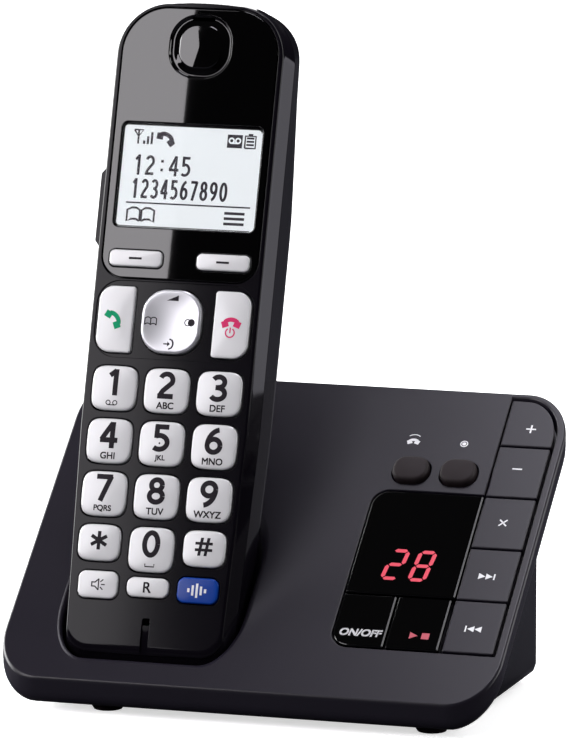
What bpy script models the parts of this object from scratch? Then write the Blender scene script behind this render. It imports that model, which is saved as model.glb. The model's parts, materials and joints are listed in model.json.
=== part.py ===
# A cordless telephone standing in its answering-machine base.
# Metres, +Z up, the front faces -Y. The origin is on the desk, under the middle of the whole telephone.
import math

import bmesh
import bpy
from mathutils import Vector

# Base, outside
BASE_WIDTH = 0.131
BASE_DEPTH = 0.078
BASE_CORNER = 0.012
FACE_TILT = math.radians(39.6)
LIP_HEIGHT = 0.0087
SKIRT_DROP = 0.0085
EDGE_ROUND = 0.0017
EDGE_END_SHARE = 0.3
BELLY_DROP = 0.0038
TUCK_DROP = 0.0067
TUCK_INSET = 0.0009
TUCK_LIFT = 0.0032
SKIRT_INSET = 0.0021
BASE_LIFT = 0.0021
COVER_WALL = 0.0027
CABINET_WALL = 0.0018
CABINET_INSET = 0.0079
CABINET_CORNER = 0.006
CABINET_FOOT_INSET = 0.0022
CABINET_FOOT_TUCK = 0.0007
CABINET_FOOT_STEP = 0.0012
CABINET_FOOT_RISE = 0.0032
FLANGE_DEPTH = 0.0020
FIT_GAP = 0.0003
CUT_OVERRUN = 0.004

# Feet
FOOT_RADIUS = 0.0047
FOOT_TIP_RADIUS = 0.0036
FOOT_INSET_LEFT = 0.0285
FOOT_INSET_RIGHT = 0.0175
FOOT_INSET_FRONT = 0.0086
FOOT_INSET_BACK = 0.0120

# Key block on the base's face, measured up the slope from its front edge
COLUMN_INSET = 0.0032
COLUMN_WIDTH = 0.0133
COLUMN_REAR = 0.00073
COLUMN_CORNER_SHARE = 0.9
COLUMN_ROWS = 5
BLOCK_WIDTH = 0.0290
BLOCK_FRONT = 0.0165
KEY_SEAM = 0.0004
RIM_GAP = 0.0008
COLUMN_RIM = 0.0010
BLOCK_CORNER = 0.0050
RECESS_DEPTH = 0.0030
BLOCK_DEPTH = 0.0031
RECESS_FLOOR = 0.0012
RECESS_WALL = 0.0012
BASE_KEY_TRAVEL = 0.0005
KEY_CLEARANCE = 0.0002
KEY_EDGE = 0.0004
BLOCK_KEY_GAP = 0.0010
BLOCK_KEY_SPLIT = 0.0006
STEM_SIDE = 0.0024
STEM_OFFSET = 0.0040

# Locator keys
LOCATOR_INSET = 0.0079
LOCATOR_PITCH = 0.0125
LOCATOR_SETBACK = 0.0068
LOCATOR_WIDTH = 0.0094
LOCATOR_HEIGHT = 0.0079
LOCATOR_CORNER = 0.0034
LOCATOR_RISE = 0.0019
LOCATOR_EDGE = 0.0009
LOCATOR_FLANGE = 0.0007
LOCATOR_TRAVEL = 0.0008

# Electronics of the base
KEY_BOARD_THICKNESS = 0.0014
KEY_BOARD_LEFT_SHARE = 0.8465
KEY_BOARD_REACH = 0.0050
KEY_BOARD_MARGIN = 0.00135
LED_WIDTH = 0.0165
LED_HEIGHT = 0.0140
LED_INSET = 0.0144
LED_SETBACK = 0.0099
BOARD_THICKNESS = 0.0012
BOARD_SIDE_GAP = 0.0058
BOARD_FRONT_GAP = 0.0090
BOARD_BACK_GAP = 0.0070
STANDOFF_HEIGHT = 0.0005
STANDOFF_SIDE = 0.005
SPEAKER_RADIUS = 0.0180
SPEAKER_MAGNET_RADIUS = 0.0085
SPEAKER_RIM = 0.0016
SPEAKER_DEPTH = 0.0090
SPEAKER_INSET = 0.0455
SPEAKER_Z = 0.0380
GRILLE_SLOTS = 6
GRILLE_PITCH = 0.0040
GRILLE_SLOT_WIDTH = 0.0240
GRILLE_SLOT_HEIGHT = 0.0016
JACK_PITCH = 0.0200
LINE_JACK_WIDTH = 0.0140
LINE_JACK_HEIGHT = 0.0118
LINE_JACK_DEPTH = 0.0150
LINE_SOCKET_WIDTH = 0.0098
LINE_SOCKET_HEIGHT = 0.0068
LINE_SOCKET_DEPTH = 0.0115
POWER_JACK_INSET = 0.0255
POWER_JACK_WIDTH = 0.0100
POWER_JACK_HEIGHT = 0.0110
POWER_JACK_DEPTH = 0.0140
POWER_SOCKET_RADIUS = 0.0028
POWER_SOCKET_DEPTH = 0.0100
POWER_PIN_RADIUS = 0.0009

# Handset, outside: u to its right, v up along it, depth behind its face
POCKET_LEFT_SHARE = 0.1167
HANDSET_SETBACK = 0.0088
HANDSET_LIFT = 0.0166
HANDSET_LEAN = math.radians(17.9)
HANDSET_WIDTH = 0.0474
HANDSET_TAPER = 0.0014
HANDSET_TAPER_START = 0.055
HANDSET_TOP = 0.1652
HANDSET_BOTTOM = -0.0050
HANDSET_THICKNESS = 0.0238
PARTING_DEPTH = 0.0055
TOP_CORNER = 0.0160
REAR_CORNER_SHARE = 0.5
REAR_CORNER_LEAST = 0.0040
TOP_CROWN = 0.0004
BOTTOM_CORNER = 0.0070
FACE_EDGE = 0.0008
SIDE_FLARE = 0.0015
BOTTOM_CURL = 0.0043
REAR_ROUND = 0.0080
REAR_TAPER_START = 0.112
REAR_TAPER_SHARE = 0.161
REAR_DRAFT = 0.0006
HOUSING_WALL = 0.0020
SIDE_WALL = 0.0018
CURL_STEP_SHARE = 0.42
CURL_STEP_CURL_SHARE = 0.16
EDGE_CURL_SHARE = 0.58
INNER_CURL_SHARE = 0.45
CORNER_TIGHTEN = 0.008
TOP_LIFT_SHARE = 0.18

# Handset face
PLATE_BOTTOM = 0.0926
PLATE_RIM = 0.0005
PLATE_THICKNESS = 0.0010
PLATE_CORNER = 0.0060
BAND_HEIGHT = 0.0196
BAND_SEAM = 0.0005
BAND_DEPTH = 0.0004
LENS_SIDE = 0.0051
LENS_BOTTOM = 0.1060
LENS_TOP = 0.1327
LENS_CORNER = 0.0014
LENS_SEAT = 0.0007
LCD_MARGIN = 0.0012
EARPIECE_V = 0.1528
EARPIECE_WIDTH = 0.0166
EARPIECE_HEIGHT = 0.0163
EARPIECE_CORNER = 0.0070
EARPIECE_RING = 0.0020
EARPIECE_DEPTH = 0.0005
SOUND_SLOT_WIDTH = 0.0060
SOUND_SLOT_HEIGHT = 0.0010
EAR_SPEAKER_RADIUS = 0.0070
EAR_SPEAKER_DEPTH = 0.0022
MIC_U = 0.0005
MIC_V = 0.0060
MIC_SLOT_WIDTH = 0.0010
MIC_SLOT_HEIGHT = 0.0024
MIC_GROOVE_DEPTH = 0.0004

# Handset keys
KEY_RISE = 0.0007
KEY_TRAVEL = 0.0005
KEY_FLANGE = 0.0005
KEY_FLANGE_THICKNESS = 0.0008
KEY_CORNER = 0.0034
KEY_CORNER_SHARE = 0.4
KEY_TOP_ROUND = 0.0005
SMALL_KEY_CORNER = 0.0020
MAT_GAP = 0.0007
MAT_THICKNESS = 0.0010
MAT_SIDE_GAP = 0.0009
MAT_BOTTOM = 0.0060
MAT_TOP_GAP = 0.0035
DIGIT_SETBACK = 0.0080
DIGIT_SIDE = 0.0098
DIGIT_GAP = 0.0020
DIGIT_ROW_GAP = 0.00205
SIGN_NARROWING = 0.0007
SIGN_LOWERING = 0.0021
SOFT_V = 0.0978
SOFT_SPLIT = 0.0046
SOFT_HEIGHT = 0.0042
CALL_SIDE = 0.00355
CALL_LOWERING = 0.0002
CALL_GAP = 0.00275
CALL_HEIGHT = 0.0170
NAVIGATOR_U = -0.0005
NAVIGATOR_WIDTH = 0.0158
NAVIGATOR_HEIGHT = 0.0163
NAVIGATOR_CORNER = 0.0062
NAVIGATOR_CLEARANCE = 0.0004
NAVIGATOR_FLANGE_DROP = 0.0003
PIVOT_SIDE = 0.0030
PIVOT_CLEARANCE = 0.0006
LAST_ROW_V = 0.0146
LAST_ROW_GAP = 0.00955
LAST_ROW_SHIFT = 0.0007
SPEAKERPHONE_NARROWING = 0.0014
SPEAKERPHONE_HEIGHT = 0.0069
RECALL_NARROWING = 0.0008
RECALL_HEIGHT = 0.0050
NOISE_NARROWING = 0.0012
NOISE_HEIGHT = 0.0065
SIDE_KEY_V = 0.1117
SIDE_KEY_LENGTH = 0.0220
SIDE_KEY_WIDTH = 0.0044
SIDE_KEY_DEPTH = 0.0092
SIDE_KEY_RISE = 0.0019
SIDE_KEY_SLANT = 0.0022
SIDE_KEY_CLEARANCE = 0.0004
SIDE_KEY_FLANGE = 0.0008
SIDE_KEY_FLANGE_GAP = 0.0006

# Inside the handset
HANDSET_BOARD_BOTTOM = 0.0040
HANDSET_BOARD_TOP = 0.1560
HANDSET_BOARD_CORNER = 0.0120
RIB_THICKNESS = 0.0015
RIB_WIDTH = 0.0200
LOWER_RIB_V = 0.0300
UPPER_RIB_V = 0.1300
CELL_RADIUS = 0.00525
CELL_LENGTH = 0.0445
CELL_NUB_RADIUS = 0.0027
CELL_NUB_LENGTH = 0.0010
CELL_GAP = 0.0004
BAY_BOTTOM = 0.0612
BAY_WALL = 0.0012
BAY_END_GAP = 0.0006
BATTERY_COVER_WIDTH = 0.0300
BATTERY_COVER_BOTTOM = 0.0570
BATTERY_COVER_LENGTH = 0.0540
BATTERY_COVER_THICKNESS = 0.0016
BATTERY_COVER_CORNER = 0.0030
LEDGE_THICKNESS = 0.0018
LEDGE_MARGIN = 0.0012

# Pocket and charging contacts
POCKET_SIDE_GAP = 0.0012
POCKET_FRONT_GAP = 0.0011
POCKET_BACK_GAP = 0.0012
POCKET_FRONT_CORNER = 0.0085
POCKET_RIM = 0.0011
POCKET_WALL = 0.0016
CONTACT_U = 0.0130
CONTACT_REACH = 0.0130
CONTACT_WIDTH = 0.0026
CONTACT_LENGTH = 0.0034
CONTACT_RISE = 0.0003
CONTACT_TRAVEL = 0.0009
CONTACT_FLANGE = 0.0008
CHARGE_PLATE_WIDTH = 0.0044
CHARGE_PLATE_LENGTH = 0.0052
CHARGE_PLATE_THICKNESS = 0.0006

ARC_STEPS = 2
KEY_STEPS = 3
FINE_STEPS = 6
ROUND_SIDES = 20
REAR_STEPS = 3
EDGE_STEPS = 3

# Derived places
FRONT_Y = -BASE_DEPTH / 2
BACK_Y = FRONT_Y + BASE_DEPTH
RISE = math.tan(FACE_TILT)
FACE_COS = math.cos(FACE_TILT)
FACE_SIN = math.sin(FACE_TILT)
LEAN_COS = math.cos(HANDSET_LEAN)
LEAN_SIN = math.sin(HANDSET_LEAN)
COLUMN_RIGHT = BASE_WIDTH / 2 - COLUMN_INSET
COLUMN_LEFT = COLUMN_RIGHT - COLUMN_WIDTH
BLOCK_LEFT = COLUMN_LEFT - BLOCK_WIDTH
KEY_ROW = (BASE_DEPTH / FACE_COS - BLOCK_FRONT - COLUMN_REAR) / COLUMN_ROWS
PLAY_WIDTH = (BLOCK_WIDTH - BLOCK_KEY_GAP - BLOCK_KEY_SPLIT) / 2
LOCATOR_X = BLOCK_LEFT + LOCATOR_INSET
LOCATOR_S = BLOCK_FRONT + 3 * KEY_ROW + LOCATOR_SETBACK
LED_X = BLOCK_LEFT + LED_INSET
LED_S = BLOCK_FRONT + KEY_ROW + LED_SETBACK
POCKET_WIDTH = HANDSET_WIDTH - 2 * HANDSET_TAPER + 2 * POCKET_SIDE_GAP
POCKET_CUP_HALF = POCKET_WIDTH / 2 + POCKET_WALL
CABINET_INNER_X = BASE_WIDTH / 2 - CABINET_INSET - CABINET_WALL
POCKET_ROOM = BLOCK_LEFT - KEY_SEAM - RECESS_WALL + CABINET_INNER_X - 2 * POCKET_CUP_HALF
HANDSET_X = -CABINET_INNER_X + POCKET_CUP_HALF + POCKET_LEFT_SHARE * POCKET_ROOM
POCKET_CUP_RIGHT = HANDSET_X + POCKET_CUP_HALF
KEY_BOARD_LEFT = POCKET_CUP_RIGHT + KEY_BOARD_LEFT_SHARE * (BLOCK_LEFT - POCKET_CUP_RIGHT)
KEY_BOARD_RIGHT = COLUMN_LEFT + KEY_BOARD_REACH
KEY_BOARD_BACK = LOCATOR_S + LOCATOR_HEIGHT / 2 + KEY_BOARD_MARGIN
BOARD_HALF = CABINET_INNER_X - BOARD_SIDE_GAP
SPEAKER_X = SPEAKER_INSET - BASE_WIDTH / 2
POWER_JACK_X = BASE_WIDTH / 2 - POWER_JACK_INSET
LINE_JACK_X = POWER_JACK_X - JACK_PITCH
HANDSET_Y = FRONT_Y + HANDSET_SETBACK
DOCK_Z = HANDSET_LIFT + HANDSET_BOTTOM * LEAN_COS - PARTING_DEPTH * LEAN_SIN
POCKET_FLOOR_Z = DOCK_Z - FIT_GAP
FACE_INSET = SIDE_FLARE + FACE_EDGE
COLUMN_X = (COLUMN_LEFT + COLUMN_RIGHT) / 2
BLOCK_KEY_TOP = BLOCK_FRONT + KEY_ROW - KEY_SEAM
BOARD_Z = BASE_LIFT + CABINET_WALL + STANDOFF_HEIGHT + FIT_GAP
BOARD_TOP_Z = BOARD_Z + BOARD_THICKNESS
CABINET_BACK_Y = BACK_Y - COVER_WALL - FIT_GAP
FLANGE_SEAT = HOUSING_WALL + FIT_GAP
BAND_TOP = PLATE_BOTTOM - BAND_SEAM
BAND_BOTTOM = BAND_TOP - BAND_HEIGHT
CALL_V = (BAND_TOP + BAND_BOTTOM) / 2 - CALL_LOWERING
DIGIT_V = BAND_BOTTOM - DIGIT_SETBACK
DIGIT_PITCH = (DIGIT_V - LAST_ROW_GAP - LAST_ROW_V) / 3
DIGIT_HEIGHT = DIGIT_PITCH - DIGIT_ROW_GAP
SIGN_HEIGHT = DIGIT_HEIGHT - SIGN_LOWERING
MAT_TOP = LENS_BOTTOM - MAT_TOP_GAP
LENS_WIDTH = HANDSET_WIDTH - 2 * LENS_SIDE
SOFT_WIDTH = LENS_WIDTH / 2 - SOFT_SPLIT
SOFT_U = LENS_WIDTH / 2 - SOFT_WIDTH / 2
DIGIT_COLUMN = HANDSET_WIDTH / 2 - DIGIT_SIDE
DIGIT_WIDTH = DIGIT_COLUMN - DIGIT_GAP
SIGN_WIDTH = DIGIT_WIDTH - SIGN_NARROWING
LAST_ROW_U = DIGIT_COLUMN - LAST_ROW_SHIFT
SPEAKERPHONE_WIDTH = DIGIT_WIDTH - SPEAKERPHONE_NARROWING
RECALL_WIDTH = DIGIT_WIDTH - RECALL_NARROWING
NOISE_WIDTH = DIGIT_WIDTH - NOISE_NARROWING
CALL_WIDTH = HANDSET_WIDTH / 2 - CALL_SIDE - CALL_GAP - NAVIGATOR_WIDTH / 2
CALL_U = HANDSET_WIDTH / 2 - CALL_SIDE - CALL_WIDTH / 2
MAT_WIDTH = HANDSET_WIDTH - 2 * (SIDE_WALL + SIDE_FLARE + MAT_SIDE_GAP)
HANDSET_BOARD_WIDTH = MAT_WIDTH - 2 * FIT_GAP
MAT_DEPTH = FLANGE_SEAT + KEY_FLANGE_THICKNESS + MAT_GAP
HANDSET_BOARD_DEPTH = MAT_DEPTH + MAT_THICKNESS + FIT_GAP
HANDSET_BOARD_BACK = HANDSET_BOARD_DEPTH + BOARD_THICKNESS
BATTERY_COVER_TOP = BATTERY_COVER_BOTTOM + BATTERY_COVER_LENGTH
COVER_SEAT = HANDSET_THICKNESS - BATTERY_COVER_THICKNESS - FIT_GAP
CELL_DEPTH = COVER_SEAT - CELL_GAP - CELL_RADIUS
BAY_FLOOR = CELL_DEPTH - CELL_RADIUS - CELL_GAP
BAY_LENGTH = CELL_LENGTH + 2 * BAY_END_GAP


def clear_scene():
    for existing in list(bpy.data.objects):
        bpy.data.objects.remove(existing, do_unlink=True)


def material(name, colour, roughness, metallic=0.0):
    made = bpy.data.materials.new(name)
    made.use_nodes = True
    shader = made.node_tree.nodes["Principled BSDF"]
    shader.inputs["Base Color"].default_value = (*colour, 1.0)
    shader.inputs["Roughness"].default_value = roughness
    shader.inputs["Metallic"].default_value = metallic
    return made


def empty(name, location, tilt):
    """An empty that carries the pieces of one frame, turned about X."""
    made = bpy.data.objects.new(name, None)
    made.location = location
    made.rotation_euler = (tilt, 0, 0)
    bpy.context.collection.objects.link(made)
    return made


def rounded(left, right, low, high, corners, stretch=1.0, steps=ARC_STEPS):
    """Outline of a rectangle, anticlockwise from its low right corner, with arcs on the four corners."""
    if not isinstance(corners, tuple):
        corners = (corners,) * 4
    places = ((right, low, -1, 1), (right, high, -1, -1), (left, high, 1, -1), (left, low, 1, 1))
    points = []
    for index, (x, y, to_x, to_y) in enumerate(places):
        radius = corners[index]
        start = math.radians(90) * (index - 1)
        for step in range(steps + 1):
            angle = start + math.radians(90) * step / steps
            across = x + to_x * radius + radius * math.cos(angle)
            along = y + to_y * radius * stretch + radius * stretch * math.sin(angle)
            points.append((across, along))
    return points


def centred(width, height, corners, grow=0.0, steps=ARC_STEPS):
    """Rounded outline round (0, 0), grown by the same amount on each side."""
    half_x = width / 2 + grow
    half_y = height / 2 + grow
    return rounded(-half_x, half_x, -half_y, half_y, corners + grow, 1, steps)


def circle(radius):
    turn = math.radians(360) / ROUND_SIDES
    return [(radius * math.cos(turn * k), radius * math.sin(turn * k)) for k in range(ROUND_SIDES)]


def on_face(across, along, rise):
    """Base face frame: x across, y up the slope, z out of it."""
    return Vector((across, along, rise))


def on_handset(across, along, rise):
    """Handset frame: x across, z up along it, -y out of its face."""
    return Vector((across, -rise, along))


def upright(across, along, rise):
    return Vector((across, along, rise))


def to_back(across, along, rise):
    """Frame of the cabinet's back wall: x across, z up, y out of the wall."""
    return Vector((across, rise, along))


def ring(outline, rise, place):
    return [place(across, along, rise) for across, along in outline]


def cap(bm, loop, strips):
    """Closes an end: one flat face, or strips across from side to side where the end has a crease."""
    if not strips:
        bm.faces.new(loop)
        return
    last = len(loop) - 1
    for k in range(last // 2):
        corners = (loop[k], loop[k + 1], loop[last - k - 1], loop[last - k])
        bm.faces.new(list(dict.fromkeys(corners)))


def loft(bm, rings, strips=False):
    """Joins rings of as many points each into one closed body."""
    loops = [[bm.verts.new(point) for point in points] for points in rings]
    count = len(loops[0])
    for lower, upper in zip(loops, loops[1:]):
        for k in range(count):
            after = (k + 1) % count
            bm.faces.new((lower[k], lower[after], upper[after], upper[k]))
    cap(bm, loops[0], strips)
    cap(bm, loops[-1], strips)


def body(name, ring_sets, frame, origin=(0, 0, 0), strips=False):
    """One object from one or more lofts, with its own origin in its frame."""
    bm = bmesh.new()
    for rings in ring_sets:
        loft(bm, rings, strips)
    bmesh.ops.recalc_face_normals(bm, faces=bm.faces)
    mesh = bpy.data.meshes.new(name)
    bm.to_mesh(mesh)
    bm.free()
    made = bpy.data.objects.new(name, mesh)
    made.parent = frame
    made.location = origin
    bpy.context.collection.objects.link(made)
    return made


def piece(name, rings, finish, frame, origin=(0, 0, 0), smooth=False, strips=False):
    made = body(name, [rings], frame, origin, strips)
    made.data.materials.append(finish)
    if smooth:
        made.data.shade_smooth()
        made.data.set_sharp_from_angle(angle=math.radians(40))
    return made


def cutter(name, ring_sets, frame):
    """A tool body that shapes other pieces and isn't part of the object."""
    made = body(name, ring_sets, frame)
    made.hide_render = True
    made.display_type = "WIRE"
    return made


def combine(target, tool, operation):
    change = target.modifiers.new(tool.name, "BOOLEAN")
    change.operation = operation
    change.solver = "EXACT"
    change.object = tool


def cut(target, tool):
    combine(target, tool, "DIFFERENCE")


def join(target, tool):
    combine(target, tool, "UNION")


def prism(outline, low, high, place):
    return [ring(outline, low, place), ring(outline, high, place)]


def shifted(rings, move):
    return [[point + move for point in points] for points in rings]


def face_height(y):
    """Height of the base's face above the desk at a depth."""
    return LIP_HEIGHT + (y - FRONT_Y) * RISE


def under_face(outline, drop, lowest=0):
    """Ring that follows the slope at a vertical drop below the face, but never under a height."""
    return [Vector((x, y, max(face_height(y) - drop, lowest))) for x, y in outline]


def base_outline(side_inset, end_inset):
    half = BASE_WIDTH / 2 - side_inset
    corner = BASE_CORNER - (side_inset + end_inset) / 2
    return rounded(-half, half, FRONT_Y + end_inset, BACK_Y - end_inset, corner, 1, FINE_STEPS)


def cabinet_outline(inset):
    half = BASE_WIDTH / 2 - CABINET_INSET - inset
    front = FRONT_Y + COVER_WALL + 2 * FIT_GAP + inset
    return rounded(-half, half, front, CABINET_BACK_Y - inset, CABINET_CORNER - inset)


def handset_outline(inset, depth, curl):
    """Front view of the handset at a depth: tapered at its foot, crowned at its top."""
    half = HANDSET_WIDTH / 2 - inset
    foot = half - HANDSET_TAPER
    top = HANDSET_TOP - inset + curl * TOP_LIFT_SHARE
    low = HANDSET_BOTTOM + (depth - PARTING_DEPTH) * math.tan(HANDSET_LEAN) + inset + curl
    tighten = CORNER_TIGHTEN / (CORNER_TIGHTEN + inset)
    squarer = REAR_CORNER_SHARE * max(depth - PARTING_DEPTH, 0)
    top_corner = max(TOP_CORNER * tighten - squarer, REAR_CORNER_LEAST)
    foot_arcs = rounded(-foot, foot, low, top, BOTTOM_CORNER * tighten, 1, FINE_STEPS)
    head_arcs = rounded(-half, half, low, top - TOP_CROWN, top_corner, 1, FINE_STEPS)
    per_corner = FINE_STEPS + 1
    points = foot_arcs[:per_corner]
    points.append((half, HANDSET_TAPER_START))
    points.append((half, REAR_TAPER_START))
    points += head_arcs[per_corner:2 * per_corner]
    points.append((0, top))
    points += head_arcs[2 * per_corner:3 * per_corner]
    points.append((-half, REAR_TAPER_START))
    points.append((-half, HANDSET_TAPER_START))
    points += foot_arcs[3 * per_corner:]
    return points


def handset_ring(inset, depth, curl=0.0):
    return ring(handset_outline(inset, depth, curl), -depth, on_handset)


def pocket_section(grow):
    """Section of the pocket in (u, depth), the handset's own section with its gaps."""
    half = POCKET_WIDTH / 2 + grow
    front = -POCKET_FRONT_GAP - grow
    back = HANDSET_THICKNESS + POCKET_BACK_GAP + grow
    front_corner = POCKET_FRONT_CORNER + grow
    back_corner = REAR_ROUND + POCKET_BACK_GAP + grow
    corners = (front_corner, back_corner, back_corner, front_corner)
    return rounded(-half, half, front, back, corners, 1, FINE_STEPS)


def pocket_ring_level(section, z):
    """The section's lines along the handset, cut by a level plane."""
    points = []
    for u, depth in section:
        v = (z - HANDSET_LIFT + depth * LEAN_SIN) / LEAN_COS
        points.append(Vector((HANDSET_X + u, HANDSET_Y + depth * LEAN_COS + v * LEAN_SIN, z)))
    return points


def pocket_ring_slope(section, drop):
    """The section's lines along the handset, cut by the base's face lowered by a drop."""
    points = []
    for u, depth in section:
        start_y = HANDSET_Y + depth * LEAN_COS
        start_z = HANDSET_LIFT - depth * LEAN_SIN
        v = (face_height(start_y) - drop - start_z) / (LEAN_COS - LEAN_SIN * RISE)
        y = start_y + v * LEAN_SIN
        points.append(Vector((HANDSET_X + u, y, face_height(y) - drop)))
    return points


def back_reach(rise):
    """Distance up the slope, at a height over the face, where the rim behind the top key stands."""
    return (BASE_DEPTH - COLUMN_RIM + rise * FACE_SIN) / FACE_COS


def column_ring(rise, left, right, front, back_shift, corner):
    """Ring of the key column, whose back side stays upright."""
    back = back_reach(rise) + back_shift
    corners = (KEY_EDGE, corner, KEY_EDGE, KEY_EDGE)
    return ring(rounded(left, right, front, back, corners, 1 / FACE_COS, FINE_STEPS), rise, on_face)


def make_top_cover(finish, face):
    inside = base_outline(COVER_WALL, COVER_WALL)
    rings = [under_face(inside, COVER_WALL / FACE_COS),
             under_face(inside, SKIRT_DROP, BASE_LIFT),
             under_face(base_outline(SKIRT_INSET, SKIRT_INSET), SKIRT_DROP, BASE_LIFT),
             under_face(base_outline(TUCK_INSET, TUCK_INSET), TUCK_DROP, TUCK_LIFT),
             under_face(base_outline(0, 0), BELLY_DROP)]
    for step in range(EDGE_STEPS + 1):
        angle = math.radians(90) * step / EDGE_STEPS
        inset = EDGE_ROUND * (1 - math.cos(angle))
        drop = EDGE_ROUND * (1 - math.sin(angle))
        rings.append(under_face(base_outline(inset, inset * EDGE_END_SHARE), drop))
    cover = piece("top_cover", rings, finish, None)
    roof = COVER_WALL / FACE_COS / 2
    cup = [pocket_ring_level(pocket_section(POCKET_WALL), POCKET_FLOOR_Z - POCKET_WALL),
           pocket_ring_slope(pocket_section(POCKET_WALL), roof)]
    join(cover, cutter("pocket_cup", [cup], None))
    column_corner = BASE_CORNER - COLUMN_RIM
    tray_low = -RECESS_DEPTH - RECESS_FLOOR
    tray_high = -COVER_WALL / 2
    trays = []
    for rise in (tray_low, tray_high):
        trays.append(column_ring(rise, COLUMN_LEFT - RECESS_WALL, COLUMN_RIGHT + RIM_GAP + RECESS_WALL,
                                 BLOCK_FRONT - KEY_SEAM - RECESS_WALL, RECESS_WALL / 2, column_corner))
    join(cover, cutter("column_tray", [trays], face))
    block_back = BLOCK_FRONT + 3 * KEY_ROW
    block_tray = rounded(BLOCK_LEFT - KEY_SEAM - RECESS_WALL, COLUMN_LEFT, BLOCK_FRONT - KEY_SEAM - RECESS_WALL,
                         block_back + KEY_SEAM + RECESS_WALL, BLOCK_CORNER)
    join(cover, cutter("block_tray", [prism(block_tray, tray_low, tray_high, on_face)], face))
    mouth = [pocket_ring_level(pocket_section(0), POCKET_FLOOR_Z),
             pocket_ring_slope(pocket_section(0), POCKET_RIM),
             pocket_ring_slope(pocket_section(POCKET_RIM), 0),
             pocket_ring_slope(pocket_section(POCKET_RIM), -CUT_OVERRUN)]
    cut(cover, cutter("pocket_mouth", [mouth], None))
    column = [column_ring(-RECESS_DEPTH, COLUMN_LEFT - KEY_SEAM, COLUMN_RIGHT + RIM_GAP,
                          BLOCK_FRONT - KEY_SEAM, 0, column_corner - RIM_GAP),
              column_ring(CUT_OVERRUN, COLUMN_LEFT - KEY_SEAM, COLUMN_RIGHT + RIM_GAP,
                          BLOCK_FRONT - KEY_SEAM, 0, column_corner - RIM_GAP)]
    cut(cover, cutter("column_opening", [column], face))
    block = rounded(BLOCK_LEFT - KEY_SEAM, COLUMN_LEFT, BLOCK_FRONT - KEY_SEAM,
                    block_back + KEY_SEAM, (KEY_EDGE, KEY_EDGE, BLOCK_CORNER, BLOCK_CORNER))
    cut(cover, cutter("block_opening", [prism(block, -BLOCK_DEPTH, CUT_OVERRUN, on_face)], face))
    holes = []
    for x, s in stem_places():
        side = STEM_SIDE + 2 * FIT_GAP
        hole = prism(centred(side, side, FIT_GAP), tray_low - RECESS_FLOOR, -RECESS_DEPTH + RECESS_FLOOR, on_face)
        holes.append(shifted(hole, on_face(x, s, 0)))
    led = prism(centred(LED_WIDTH, LED_HEIGHT, KEY_EDGE, FIT_GAP), tray_low - RECESS_FLOOR,
                -RECESS_DEPTH + RECESS_FLOOR, on_face)
    holes.append(shifted(led, on_face(LED_X, LED_S, 0)))
    for x in (LOCATOR_X, LOCATOR_X + LOCATOR_PITCH):
        outline = centred(LOCATOR_WIDTH, LOCATOR_HEIGHT, LOCATOR_CORNER, FIT_GAP, KEY_STEPS)
        holes.append(shifted(prism(outline, -COVER_WALL - CUT_OVERRUN / 2, CUT_OVERRUN, on_face),
                             on_face(x, LOCATOR_S, 0)))
    cut(cover, cutter("face_holes", holes, face))
    slots = []
    for side in (-1, 1):
        window = prism(centred(CONTACT_WIDTH, CONTACT_LENGTH, FIT_GAP, FIT_GAP),
                       POCKET_FLOOR_Z - POCKET_WALL - FIT_GAP, POCKET_FLOOR_Z + FIT_GAP, upright)
        slots.append(shifted(window, contact_place(side)))
    cut(cover, cutter("contact_slots", slots, None))
    return cover


def contact_place(side):
    """Centre of a charging contact on the desk plane."""
    v = HANDSET_BOTTOM + (CONTACT_REACH - PARTING_DEPTH) * math.tan(HANDSET_LEAN)
    y = HANDSET_Y + CONTACT_REACH * LEAN_COS + v * LEAN_SIN
    return Vector((HANDSET_X + side * CONTACT_U, y, 0))


def stem_places():
    """Centres of the plungers under the base's flush keys, on the face."""
    places = [(COLUMN_X - STEM_OFFSET, BLOCK_FRONT + KEY_ROW * (row + 0.5)) for row in range(COLUMN_ROWS)]
    middle = BLOCK_FRONT + KEY_ROW / 2
    places.append((BLOCK_LEFT + PLAY_WIDTH / 2, middle))
    places.append((COLUMN_LEFT - BLOCK_KEY_GAP - PLAY_WIDTH / 2, middle))
    return places


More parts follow.
